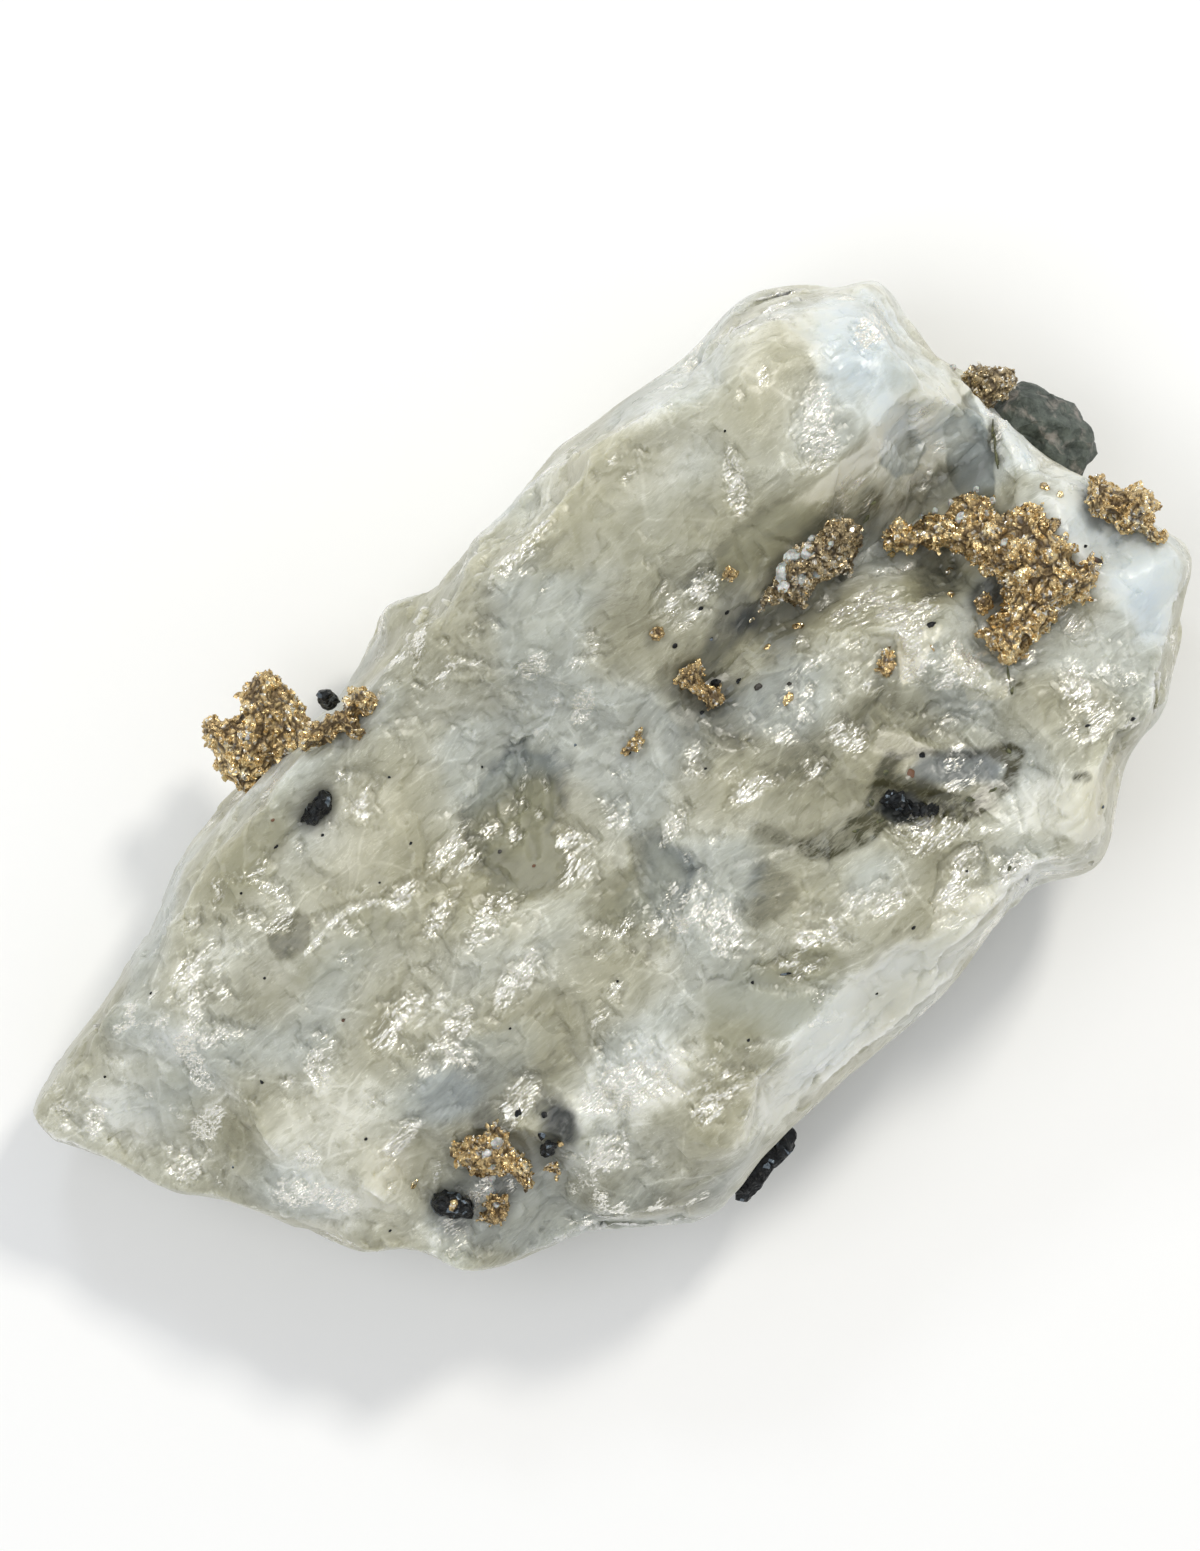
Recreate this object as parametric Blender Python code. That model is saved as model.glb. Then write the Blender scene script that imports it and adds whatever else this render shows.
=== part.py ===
"""Native metal on its matrix: a hand specimen of milky vein quartz that carries growths of native metal.

The block lies on a flat face at z = 0, its long axis along X. Metal fills a trench across its right end
and grows out of its edges, with grains of a black sulphide beside it and a chip of the dark wallrock on its
rim.
Lengths are in millimetres, and MM turns them into Blender's metres.
"""

import math
import random
from typing import NamedTuple

import bmesh
import bpy
from mathutils import Vector, noise
from mathutils.bvhtree import BVHTree
from mathutils.geometry import delaunay_2d_cdt
from mathutils.kdtree import KDTree

MM = 0.001
SEED = 11
WELD = 0.01  # sheets are joined where their edges come this close

# The block's heights: its rim is its widest line all round, and its crown is the highest line along it.
RIM_HEIGHT = 9.8
RIM_RISE = 0.058  # the rim runs higher by this much for each millimetre of x
CROWN = (
    (-40.0, 11.5), (-36.0, 13.5), (-30.0, 17.2), (-15.0, 20.6),
    (5.0, 23.2), (22.0, 24.2), (34.0, 22.0), (40.0, 19.5),
)
SHOULDER = 3.4  # width over which the top rounds down to the rim
FLANK = 9.0  # width over which the underside rounds down to the base
BASE_TRIM = 0.5  # the underside is shaped this much too deep, then cut off flat
TOP_SPACING = 1.75
BASE_SPACING = 3.6
TOP_RINGS = (0.15, 0.55, 1.3, 2.5)  # distances in from the rim where the rounded top needs points
BASE_RINGS = (0.3, 1.1, 2.8, 5.2)
SWELLS = ((9.0, 0.75), (3.2, 0.35))  # wavelength and height of the broken surface's unevenness
GRAIN_STRETCH = 1.6  # the unevenness is longer along X by this ratio

# The block is broken into facets: patches within a radius are planed off to a depth, less at the rim.
FACETS = 240
FACET_RADIUS = (3.0, 8.5)
FACET_DEPTH = (0.25, 1.2)
FACET_TILT = 0.28
FACET_LOWEST_FACING = -0.45  # surfaces that face further down than this are left whole
RIM_SHARE = 0.15  # the rim, which is the outline, is planed by only this share of the depth
VOXEL = 1.25  # mesh size that the facets are cut in
KEPT_TRIANGLES = 0.45  # part of that mesh's triangles that the finished block keeps
REMESH_ALLOWANCE = 0.42  # the outline starts this much wider, because remeshing rounds the rim off

# Growths keep this gap to the quartz, and rest on the highest point within SEAT_REACH of each of theirs.
GAP = 0.3
SEAT_REACH = 0.6
EDGE_STEP_IN = 1.5  # nearer the rim than this, a growth takes its seat from this far in
MIDDLE_PULL = 0.85  # inwards is towards the long axis, at this part of a rim point's x
RUGGED = {"metal": 1.0, "sulphide": 0.35, "wallrock": 0.3}
EDGE_RING = 0.2  # a growth's outer ring of points is this far in, as a part of its spacing

# The block's outline seen from above, from its left tip clockwise.
OUTLINE = (
    (-39.5, 9.0), (-38.2, 10.5), (-35.1, 11.9), (-31.5, 12.4), (-28.0, 14.0), (-25.0, 15.1),
    (-23.8, 15.9), (-20.5, 16.9), (-15.2, 17.9), (-12.3, 17.6), (-7.0, 18.4), (-2.2, 20.6),
    (1.8, 19.5), (6.0, 20.3), (10.0, 21.2), (18.0, 21.2), (26.5, 21.45), (30.0, 20.0),
    (34.0, 17.2), (34.7, 15.0), (34.6, 11.0), (35.1, 7.5), (35.4, 3.5), (37.7, -1.0),
    (38.3, -4.5), (38.6, -8.5), (35.5, -11.8), (33.0, -14.0), (28.5, -16.1), (24.0, -18.7),
    (21.5, -19.85), (18.0, -18.6), (13.5, -19.2), (8.5, -20.2), (0.0, -20.6), (-3.0, -20.35),
    (-6.5, -21.1), (-8.8, -21.9), (-12.5, -20.7), (-15.0, -18.8), (-20.2, -16.9), (-23.5, -15.2),
    (-26.8, -11.6), (-29.3, -8.6), (-33.5, -2.0), (-37.8, 5.0),
)  # fmt: skip


class Relief(NamedTuple):
    """A rise or a hollow of the top, as an ellipse turned by bearing degrees.

    Its height fades from full at the middle to none at the ellipse. A softness of 1 fades all the way out,
    and a smaller one keeps a level middle with a steeper edge.
    """

    x: float
    y: float
    half_length: float
    half_width: float
    bearing: float
    height: float
    softness: float = 1.0


RELIEF = {
    "upper slab": Relief(16.0, 14.8, 21.0, 7.4, 0, 1.9, 0.4),
    "slab brow": Relief(27.0, 11.0, 9.0, 3.0, 4, 0.8),
    "metal trench": Relief(25.5, 4.4, 11.5, 4.2, -8, -4.6, 0.55),
    "metal pit": Relief(28.5, -2.0, 7.0, 5.4, 0, -2.2, 0.6),
    "right shoulder": Relief(34.0, -11.5, 11.0, 6.0, -32, -3.6),
    "peach facet": Relief(22.6, -1.4, 3.4, 2.2, 10, 1.0),
    "vein groove": Relief(17.5, -10.2, 7.0, 2.4, -14, -2.6),
    "vein groove head": Relief(10.4, -7.0, 4.2, 2.0, -42, -1.9),
    "glassy boss": Relief(5.0, -8.4, 3.4, 3.0, 0, 1.6, 0.8),
    "brown hollow": Relief(1.0, -13.2, 7.5, 3.6, -8, -2.0),
    "lower bevel": Relief(8.0, -19.5, 21.0, 5.0, 2, -3.6),
    "dark centre": Relief(-4.0, 5.2, 6.0, 3.6, 12, -1.9),
    "left ridge": Relief(-17.0, 6.4, 11.0, 3.6, 5, 1.1),
    "left furrow": Relief(-19.0, 12.2, 10.0, 3.6, 8, -1.2),
    "grey hollow": Relief(-15.5, -5.4, 7.0, 3.2, -6, -1.4),
    "foot hollow": Relief(-19.6, -11.0, 6.5, 4.6, -38, -2.6),
    "lower left slope": Relief(-16.5, -18.0, 15.0, 6.0, -27, -4.8),
    "left end facet": Relief(-35.0, 3.4, 7.0, 5.0, -58, -2.0),
    "edge ledge": Relief(-1.0, 20.4, 5.5, 3.2, 0, -4.5, 0.7),
}


class Growth(NamedTuple):
    """A growth that sits on the block: its outline from above, its height, and its points' spacing."""

    name: str
    material: str
    height: float
    spacing: float
    outline: tuple


class SideGrowth(NamedTuple):
    """A growth on the block's side: its own outline, its middle height and its thickness."""

    name: str
    material: str
    middle: float
    thickness: float
    spacing: float
    outline: tuple


GROWTHS = (
    Growth("main_metal_mass", "metal", 2.9, 0.95, (
        (24.0, 3.6), (24.2, 4.8), (25.8, 4.9), (26.6, 3.9), (27.9, 3.9), (28.5, 3.0), (29.5, 3.6),
        (30.9, 3.3), (31.3, 2.2), (31.2, 0.9), (32.5, 0.6), (33.3, -0.2), (33.2, -1.2), (34.3, -1.5),
        (33.2, -2.2), (33.6, -3.2), (33.0, -4.2), (34.2, -4.4), (33.4, -6.1), (31.8, -6.5), (30.3, -6.0),
        (29.2, -6.6), (27.2, -6.6), (25.7, -7.0), (25.2, -6.3), (25.5, -5.5), (25.0, -3.9), (26.6, -3.7),
        (28.0, -3.2), (27.8, -1.0), (26.9, 1.4), (25.4, 2.5),
    )),
    Growth("hollow_metal_nugget", "metal", 1.1, 0.55, (
        (25.9, -2.9), (26.2, -2.2), (27.0, -2.0), (27.5, -2.5), (27.2, -3.2), (26.4, -3.4),
    )),
    Growth("west_metal_lobe", "metal", 2.2, 0.85, (
        (15.4, 5.6), (16.2, 6.3), (17.4, 6.6), (19.0, 7.6), (20.5, 7.2), (23.0, 7.3), (23.8, 6.6),
        (23.7, 5.2), (22.2, 4.5), (21.6, 3.6), (20.9, 4.2), (19.6, 4.6), (18.5, 4.3), (17.9, 3.6),
        (17.3, 5.2), (16.2, 5.5),
    )),
    Growth("rim_metal_tuft", "metal", 2.1, 0.8, (
        (37.0, -0.7), (37.7, -0.9), (37.8, -2.2), (39.0, -3.2), (39.4, -4.0), (39.0, -5.1), (38.0, -5.4),
        (38.4, -6.9), (37.4, -6.9), (36.9, -6.2), (37.0, -5.4), (35.8, -4.8), (36.0, -3.6), (35.2, -2.6),
        (35.9, -1.2),
    )),
    Growth("edge_metal_branch", "metal", 1.3, 0.6, (
        (-12.1, 17.2), (-10.9, 17.9), (-9.6, 17.9), (-8.2, 17.6), (-6.9, 18.2), (-6.1, 17.2), (-6.2, 16.1),
        (-7.1, 15.9), (-7.7, 16.5), (-7.9, 15.1), (-8.7, 15.2), (-9.3, 16.3), (-10.2, 16.1), (-11.1, 16.8),
    )),
    Growth("centre_metal_nugget", "metal", 1.5, 0.65, (
        (8.6, 5.5), (9.4, 6.0), (11.0, 5.7), (10.9, 5.0), (10.2, 4.4), (10.8, 3.5), (10.6, 2.7),
        (9.8, 2.5), (9.0, 2.9), (9.3, 3.6), (9.0, 4.6),
    )),
    Growth("small_metal_nugget", "metal", 1.0, 0.6, (
        (3.1, 4.2), (4.2, 4.6), (5.7, 4.8), (5.2, 4.1), (4.6, 3.5), (3.9, 3.8),
    )),
    Growth("hanging_metal_nugget", "metal", 1.1, 0.6, (
        (19.0, -2.7), (19.1, -1.7), (19.8, -1.0), (20.6, -0.9), (20.3, -1.9), (19.7, -2.7),
    )),
    Growth("slab_metal_speck", "metal", 0.8, 0.5, (
        (15.0, 8.6), (15.4, 9.1), (16.0, 9.0), (16.2, 8.5), (15.8, 8.1), (15.3, 8.1),
    )),
    Growth("slab_metal_ring", "metal", 0.7, 0.5, (
        (9.2, 8.5), (9.5, 9.0), (10.1, 9.0), (10.4, 8.5), (10.1, 8.0), (9.5, 8.0),
    )),
    Growth("foot_metal_cluster", "metal", 1.8, 0.8, (
        (-20.3, -8.4), (-19.6, -8.1), (-18.2, -8.8), (-17.0, -8.7), (-17.3, -10.4), (-17.2, -11.8),
        (-17.8, -13.0), (-18.5, -13.1), (-18.4, -11.6), (-19.8, -10.8), (-20.0, -9.6),
    )),
    Growth("foot_lower_metal", "metal", 1.2, 0.65, (
        (-21.8, -12.8), (-20.9, -12.5), (-20.3, -12.1), (-19.7, -12.7), (-19.9, -13.3), (-20.6, -13.7),
        (-21.3, -13.4),
    )),
    Growth("foot_side_metal", "metal", 0.9, 0.5, (
        (-16.8, -12.9), (-16.4, -12.6), (-15.4, -12.9), (-15.6, -13.5), (-15.9, -13.9), (-16.3, -13.3),
    )),
    Growth("foot_black_grain", "sulphide", 1.3, 0.65, (
        (-23.5, -10.2), (-23.0, -9.8), (-22.4, -9.9), (-21.6, -10.8), (-21.4, -11.9), (-22.0, -12.4),
        (-22.7, -11.9), (-23.4, -11.0),
    )),
    Growth("foot_side_black_grain", "sulphide", 0.9, 0.5, (
        (-16.2, -12.0), (-15.7, -11.6), (-15.2, -11.6), (-14.9, -12.1), (-15.4, -12.5), (-15.9, -12.4),
    )),
    Growth("left_black_grain", "sulphide", 1.0, 0.55, (
        (-14.7, 13.4), (-14.0, 13.8), (-12.3, 14.1), (-12.0, 13.7), (-12.6, 12.9), (-14.1, 12.7),
    )),
    Growth("edge_black_grain", "sulphide", 0.8, 0.5, (
        (-9.2, 18.5), (-8.9, 19.0), (-8.4, 19.0), (-8.0, 18.6), (-8.1, 18.1), (-9.0, 18.2),
    )),
    Growth("groove_dark_mineral", "sulphide", 0.9, 0.65, (
        (13.8, -8.5), (14.6, -8.1), (15.6, -8.0), (16.3, -8.8), (16.6, -9.9), (18.3, -11.4), (17.2, -11.8),
        (15.4, -10.4), (14.8, -9.3),
    )),
)  # fmt: skip

SIDE_GROWTHS = (
    SideGrowth("edge_metal_tuft", "metal", 11.2, 5.0, 0.8, (
        (-16.5, 18.3), (-16.8, 19.2), (-16.2, 20.2), (-16.2, 21.6), (-15.4, 22.3), (-14.6, 21.6),
        (-13.7, 21.0), (-12.9, 21.7), (-11.9, 22.3), (-10.8, 22.5), (-10.1, 21.4), (-10.4, 19.7),
        (-10.8, 18.5), (-12.2, 18.05), (-13.6, 18.2), (-15.0, 18.35),
    )),
    SideGrowth("dark_wallrock", "wallrock", 10.4, 7.0, 0.95, (
        (35.8, 3.4), (35.7, 5.0), (35.6, 6.5), (37.5, 6.4), (38.1, 5.2), (38.8, 3.2), (38.7, 1.2),
        (38.1, 0.2), (37.5, -0.1), (36.6, 1.4),
    )),
    SideGrowth("wallrock_metal_patch", "metal", 12.2, 3.0, 0.7, (
        (35.4, 9.0), (35.7, 9.2), (36.2, 8.5), (37.4, 7.4), (37.3, 6.8), (35.7, 6.8), (35.5, 7.8),
    )),
    SideGrowth("rim_black_sliver", "sulphide", 9.4, 1.4, 0.6, (
        (-8.4, -22.2), (-6.5, -21.45), (-4.7, -21.15), (-3.1, -20.7), (-3.0, -21.2), (-4.2, -21.8),
        (-5.5, -21.9), (-7.0, -22.3), (-8.0, -22.6),
    )),
)  # fmt: skip


class Finish(NamedTuple):
    """A material's plain colour, roughness and metallic value."""

    colour: tuple
    roughness: float
    metallic: float


FINISHES = {
    "quartz": Finish((0.42, 0.43, 0.36), 0.35, 0.0),
    "metal": Finish((0.55, 0.34, 0.11), 0.38, 1.0),
    "sulphide": Finish((0.02, 0.021, 0.023), 0.32, 0.0),
    "wallrock": Finish((0.10, 0.11, 0.09), 0.70, 0.0),
}


def clear_scene():
    """Removes every object of the scene."""
    for obj in list(bpy.data.objects):
        bpy.data.objects.remove(obj, do_unlink=True)


def make_material(name, finish):
    """A Principled material with a finish's values."""
    material = bpy.data.materials.new(name)
    material.use_nodes = True
    shader = material.node_tree.nodes["Principled BSDF"]
    shader.inputs["Base Color"].default_value = (*finish.colour, 1.0)
    shader.inputs["Roughness"].default_value = finish.roughness
    shader.inputs["Metallic"].default_value = finish.metallic
    return material


def smooth_loop(corners, spacing):
    """Points about a spacing apart on the closed smooth curve through the corners (Catmull-Rom)."""
    knots = [Vector(corner) for corner in corners]
    count = len(knots)
    loop = []
    for i, start in enumerate(knots):
        before, end, after = knots[i - 1], knots[(i + 1) % count], knots[(i + 2) % count]
        steps = max(1, round((end - start).length / spacing))
        for step in range(steps):
            t = step / steps
            line = 2.0 * start + (end - before) * t
            bend = (2.0 * before - 5.0 * start + 4.0 * end - after) * t**2
            turn = (3.0 * start - 3.0 * end + after - before) * t**3
            loop.append((line + bend + turn) / 2.0)
    return loop


def grown(loop, by):
    """A clockwise loop with each point moved outwards."""
    spans = [after - before for before, after in zip(loop[-1:] + loop[:-1], loop[1:] + loop[:1])]
    return [place + by * Vector((-span.y, span.x)).normalized() for place, span in zip(loop, spans)]


def loop_edges(loop):
    """The loop's sides, as pairs of points."""
    return zip(loop, loop[1:] + loop[:1])


def is_inside(point, loop):
    """Whether a point lies inside a loop, by counting the sides that a line to its right crosses."""
    inside = False
    for a, b in loop_edges(loop):
        if (a.y > point.y) != (b.y > point.y):
            if point.x < a.x + (b.x - a.x) * (point.y - a.y) / (b.y - a.y):
                inside = not inside
    return inside


def nearest_on_loop(point, loop):
    """The place on a loop that is nearest to a point."""
    nearest = loop[0]
    for a, b in loop_edges(loop):
        side = b - a
        along = min(max((point - a).dot(side) / side.length_squared, 0.0), 1.0)
        place = a + side * along
        if (place - point).length_squared < (nearest - point).length_squared:
            nearest = place
    return nearest


def rounded(distance, width):
    """A quarter circle's height, from 0 at no distance to 1 at a width and beyond."""
    short = 1.0 - min(distance / width, 1.0)
    return math.sqrt(1.0 - short**2)


def ring_points(loop, inset, spacing):
    """Points on a line that runs inside a loop at an inset, leaving out those crowded by its bends."""
    points = []
    for a, b in loop_edges(loop):
        side = b - a
        for way in (1.0, -1.0):
            place = (a + b) / 2.0 + way * inset * Vector((-side.y, side.x)).normalized()
            clear = (nearest_on_loop(place, loop) - place).length > 0.95 * inset
            apart = all((place - other).length > 0.7 * spacing for other in points)
            if clear and apart and is_inside(place, loop):
                points.append(place)
    return points


def lattice_points(loop, spacing, margin):
    """Points of an uneven triangular lattice inside a loop, at least a margin from it."""
    uneven = random.Random(SEED)
    row_height = spacing * math.sqrt(3.0) / 2.0
    left, right = min(p.x for p in loop), max(p.x for p in loop)
    low, high = min(p.y for p in loop), max(p.y for p in loop)
    points = []
    for row in range(int((high - low) / row_height) + 1):
        for column in range(int((right - left) / spacing) + 2):
            x = left + (column + 0.5 * (row % 2)) * spacing
            y = low + row * row_height
            place = Vector((x, y)) + 0.22 * spacing * Vector((uneven.uniform(-1, 1), uneven.uniform(-1, 1)))
            if is_inside(place, loop) and (nearest_on_loop(place, loop) - place).length > margin:
                points.append(place)
    return points


def triangulate(loop, inner):
    """The flat points, edges and triangles that fill a loop and use the points inside it."""
    flat, edges, triangles, *_ = delaunay_2d_cdt(loop + inner, [], [list(range(len(loop)))], 1, 1e-6)
    return flat, edges, triangles


def chord_points(loop, inner):
    """The middles of edges that cut straight across a loop, where its two sheets would touch."""
    flat, edges, _ = triangulate(loop, inner)
    count = len(loop)
    chords = [(i, j) for i, j in edges if max(i, j) < count and (i - j) % count not in (1, count - 1)]
    return [(flat[i] + flat[j]) / 2.0 for i, j in chords]


def add_sheet(shape, loop, inner, height_at):
    """Adds the triangles between a loop and the points inside it, each lifted to height_at its place."""
    flat, _, triangles = triangulate(loop, inner)
    corners = [shape.verts.new((place.x, place.y, height_at(place))) for place in flat]
    for triangle in triangles:
        shape.faces.new([corners[i] for i in triangle])


def make_body(name, material, sheets, origin):
    """An object closed by two sheets that share their outer loop, with its origin at a point of the block.

    Args:
        name: the object's name.
        material: its material.
        sheets: a loop, inner points and height function for each sheet, in millimetres.
        origin: the object's origin on the block, in millimetres.

    Returns:
        The new object, placed at its origin.
    """
    shape = bmesh.new()
    for loop, inner, height_at in sheets:
        add_sheet(shape, loop, inner, height_at)
    bmesh.ops.remove_doubles(shape, verts=shape.verts, dist=WELD)
    bmesh.ops.recalc_face_normals(shape, faces=shape.faces)
    bmesh.ops.translate(shape, verts=shape.verts, vec=-origin)
    bmesh.ops.scale(shape, verts=shape.verts, vec=(MM, MM, MM))
    mesh = bpy.data.meshes.new(name)
    shape.to_mesh(mesh)
    shape.free()
    mesh.materials.append(material)
    body = bpy.data.objects.new(name, mesh)
    body.location = origin * MM
    bpy.context.scene.collection.objects.link(body)
    return body


def crown_height(x):
    """The crown line's height at x, straight between its stated places."""
    for (x0, z0), (x1, z1) in zip(CROWN, CROWN[1:]):
        if x <= x1:
            return z0 + (z1 - z0) * max(x - x0, 0.0) / (x1 - x0)
    return CROWN[-1][1]


def relief_height(place, feature):
    """What one rise or hollow adds to the top at a place."""
    angle = math.radians(feature.bearing)
    offset = place - Vector((feature.x, feature.y))
    along = offset.x * math.cos(angle) + offset.y * math.sin(angle)
    across = offset.y * math.cos(angle) - offset.x * math.sin(angle)
    reach = math.hypot(along / feature.half_length, across / feature.half_width)
    fade = min(max((1.0 - reach) / feature.softness, 0.0), 1.0)
    return feature.height * fade * fade * (3.0 - 2.0 * fade)


def unevenness(place):
    """The broken surface's own rises and dips at a place."""
    total = 0.0
    for wavelength, height in SWELLS:
        spot = Vector((place.x / GRAIN_STRETCH, place.y, wavelength)) / wavelength
        total += height * noise.noise(spot)
    return total


def shape_block(material):
    """The block before it is broken into facets, and its outline's loop."""
    outline = smooth_loop(OUTLINE, TOP_SPACING)
    loop = grown(outline, REMESH_ALLOWANCE)

    def rim_at(place):
        return RIM_HEIGHT + RIM_RISE * place.x

    def inset_at(place):
        return (nearest_on_loop(place, loop) - place).length

    def top_at(place):
        relief = sum(relief_height(place, feature) for feature in RELIEF.values())
        full = crown_height(place.x) + relief + unevenness(place)
        return rim_at(place) + (full - rim_at(place)) * rounded(inset_at(place), SHOULDER)

    def underside_at(place):
        return rim_at(place) - (rim_at(place) + BASE_TRIM) * rounded(inset_at(place), FLANK)

    top = [place for inset in TOP_RINGS for place in ring_points(loop, inset, TOP_SPACING)]
    top += lattice_points(loop, TOP_SPACING, TOP_RINGS[-1] + 0.6 * TOP_SPACING)
    base = [place for inset in BASE_RINGS for place in ring_points(loop, inset, inset)]
    base += lattice_points(loop, BASE_SPACING, BASE_RINGS[-1] + 0.6 * BASE_SPACING)
    sheets = ((loop, top, top_at), (loop, base, underside_at))
    return make_body("quartz_matrix", material, sheets, Vector((0.0, 0.0, 0.0))), outline


def apply_modifiers(body):
    """Gives a body the mesh that its modifiers make of it."""
    graph = bpy.context.evaluated_depsgraph_get()
    mesh = bpy.data.meshes.new_from_object(body.evaluated_get(graph))
    body.modifiers.clear()
    body.data = mesh
    mesh.name = body.name


def break_facets(shape, loop):
    """Planes patches of a shape's top and sides flat, the way quartz breaks, no deeper than stated."""
    uneven = random.Random(SEED)
    shape.normal_update()
    shape.verts.ensure_lookup_table()
    whole = [(vertex.co.copy(), vertex.normal.copy()) for vertex in shape.verts]
    insets = [(nearest_on_loop(place.xy, loop) - place.xy).length for place, _ in whole]
    shares = [RIM_SHARE + (1.0 - RIM_SHARE) * rounded(inset, SHOULDER) for inset in insets]
    finder = KDTree(len(whole))
    for index, (place, _) in enumerate(whole):
        finder.insert(place, index)
    finder.balance()
    open_places = [item for item in whole if item[1].z > FACET_LOWEST_FACING]
    for middle, normal in uneven.sample(open_places, FACETS):
        tilt = Vector([uneven.uniform(-1.0, 1.0) for _ in range(3)])
        facing = (normal + FACET_TILT * tilt).normalized()
        radius = uneven.uniform(*FACET_RADIUS)
        depth = uneven.uniform(*FACET_DEPTH)
        for place, index, distance in finder.find_range(middle, radius):
            over = (shape.verts[index].co - middle).dot(facing) + depth
            share = min(4.0 * (1.0 - distance / radius), 1.0) * shares[index]
            if over > 0.0 and (place - middle).dot(facing) > -radius / 2.0:
                shape.verts[index].co -= share * over * facing


def cut_flat(shape):
    """Cuts a shape off at z = 0 and closes the cut with one face."""
    everything = [*shape.verts, *shape.edges, *shape.faces]
    down = Vector((0.0, 0.0, -1.0))
    cut = bmesh.ops.bisect_plane(
        shape, geom=everything, plane_co=(0, 0, 0), plane_no=down, clear_outer=True
    )
    rim = [item for item in cut["geom_cut"] if isinstance(item, bmesh.types.BMEdge)]
    bmesh.ops.edgeloop_fill(shape, edges=rim)
    bmesh.ops.recalc_face_normals(shape, faces=shape.faces)


def make_quartz(material):
    """The block of quartz, broken into facets, with its flat base at z = 0, and its outline's loop."""
    block, loop = shape_block(material)
    even = block.modifiers.new("even mesh", "REMESH")
    even.mode = "VOXEL"
    even.voxel_size = VOXEL * MM
    apply_modifiers(block)
    shape = bmesh.new()
    shape.from_mesh(block.data)
    bmesh.ops.scale(shape, verts=shape.verts, vec=(1.0 / MM, 1.0 / MM, 1.0 / MM))
    break_facets(shape, loop)
    bmesh.ops.scale(shape, verts=shape.verts, vec=(MM, MM, MM))
    shape.to_mesh(block.data)
    shape.free()
    thin = block.modifiers.new("fewer triangles", "DECIMATE")
    thin.ratio = KEPT_TRIANGLES
    apply_modifiers(block)
    shape = bmesh.new()
    shape.from_mesh(block.data)
    cut_flat(shape)
    shape.to_mesh(block.data)
    shape.free()
    return block, loop


def make_seat(quartz, loop):
    """A function that gives the height at which a growth rests on the quartz, its gap included."""
    shape = bmesh.new()
    shape.from_mesh(quartz.data)
    bmesh.ops.scale(shape, verts=shape.verts, vec=(1.0 / MM, 1.0 / MM, 1.0 / MM))
    surface = BVHTree.FromBMesh(shape)
    shape.free()
    above = max(height for _, height in CROWN) + 20.0
    around = [Vector((0.0, 0.0))]
    turns = [index * math.tau / 8 for index in range(8)]
    around += [SEAT_REACH * Vector((math.cos(turn), math.sin(turn))) for turn in turns]

    def hit(place):
        found = surface.ray_cast(Vector((place.x, place.y, above)), Vector((0.0, 0.0, -1.0)))[0]
        return found.z if found else 0.0

    def seat_at(place):
        edge = nearest_on_loop(place, loop)
        centre = place
        if not is_inside(place, loop) or (place - edge).length < EDGE_STEP_IN:
            inward = Vector((MIDDLE_PULL * edge.x, 0.0)) - edge
            centre = edge + EDGE_STEP_IN * inward.normalized()
        return max(hit(centre + step) for step in around) + GAP

    return seat_at


def middle_of(loop):
    """The mean of a loop's points."""
    return sum(loop, Vector((0.0, 0.0))) / len(loop)


def hackly(place, height, rugged):
    """A growth's height at a place, made uneven by as much as it is rugged."""
    spot = Vector((place.x, place.y, height))
    return height * (1.0 + rugged * (0.45 * noise.noise(spot * 0.9) + 0.25 * noise.noise(spot * 2.3)))


def growth_points(growth):
    """A growth's loop and the points inside it, none of whose edges cuts across the loop."""
    loop = smooth_loop(growth.outline, growth.spacing)
    inner = ring_points(loop, EDGE_RING * growth.spacing, growth.spacing)
    inner += lattice_points(loop, growth.spacing, 0.6 * growth.spacing)
    while chords := chord_points(loop, inner):
        inner += chords
    return loop, inner


def make_growth(growth, material, seat_at):
    """A growth that sits on the block and follows its surface."""
    loop, inner = growth_points(growth)
    shoulder = 1.6 * growth.spacing

    def top_at(place):
        inset = (nearest_on_loop(place, loop) - place).length
        rise = hackly(place, growth.height, RUGGED[growth.material])
        return seat_at(place) + rise * rounded(inset, shoulder)

    middle = middle_of(loop)
    origin = Vector((middle.x, middle.y, seat_at(middle)))
    return make_body(growth.name, material, ((loop, inner, top_at), (loop, inner, seat_at)), origin)


def make_side_growth(growth, material):
    """A growth that hangs beside the block, thickest along its middle."""
    loop, inner = growth_points(growth)
    shoulder = 2.0 * growth.spacing

    def half_at(place):
        inset = (nearest_on_loop(place, loop) - place).length
        return hackly(place, growth.thickness / 2.0, RUGGED[growth.material]) * rounded(inset, shoulder)

    def top_at(place):
        return growth.middle + half_at(place)

    def underside_at(place):
        return growth.middle - half_at(place)

    middle = middle_of(loop)
    origin = Vector((middle.x, middle.y, growth.middle))
    sheets = ((loop, inner, top_at), (loop, inner, underside_at))
    return make_body(growth.name, material, sheets, origin)


def main():
    """Builds the block and everything that grows on it."""
    clear_scene()
    materials = {name: make_material(name, finish) for name, finish in FINISHES.items()}
    quartz, loop = make_quartz(materials["quartz"])
    seat_at = make_seat(quartz, loop)
    for growth in GROWTHS:
        make_growth(growth, materials[growth.material], seat_at).parent = quartz
    for growth in SIDE_GROWTHS:
        make_side_growth(growth, materials[growth.material]).parent = quartz


main()
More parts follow.
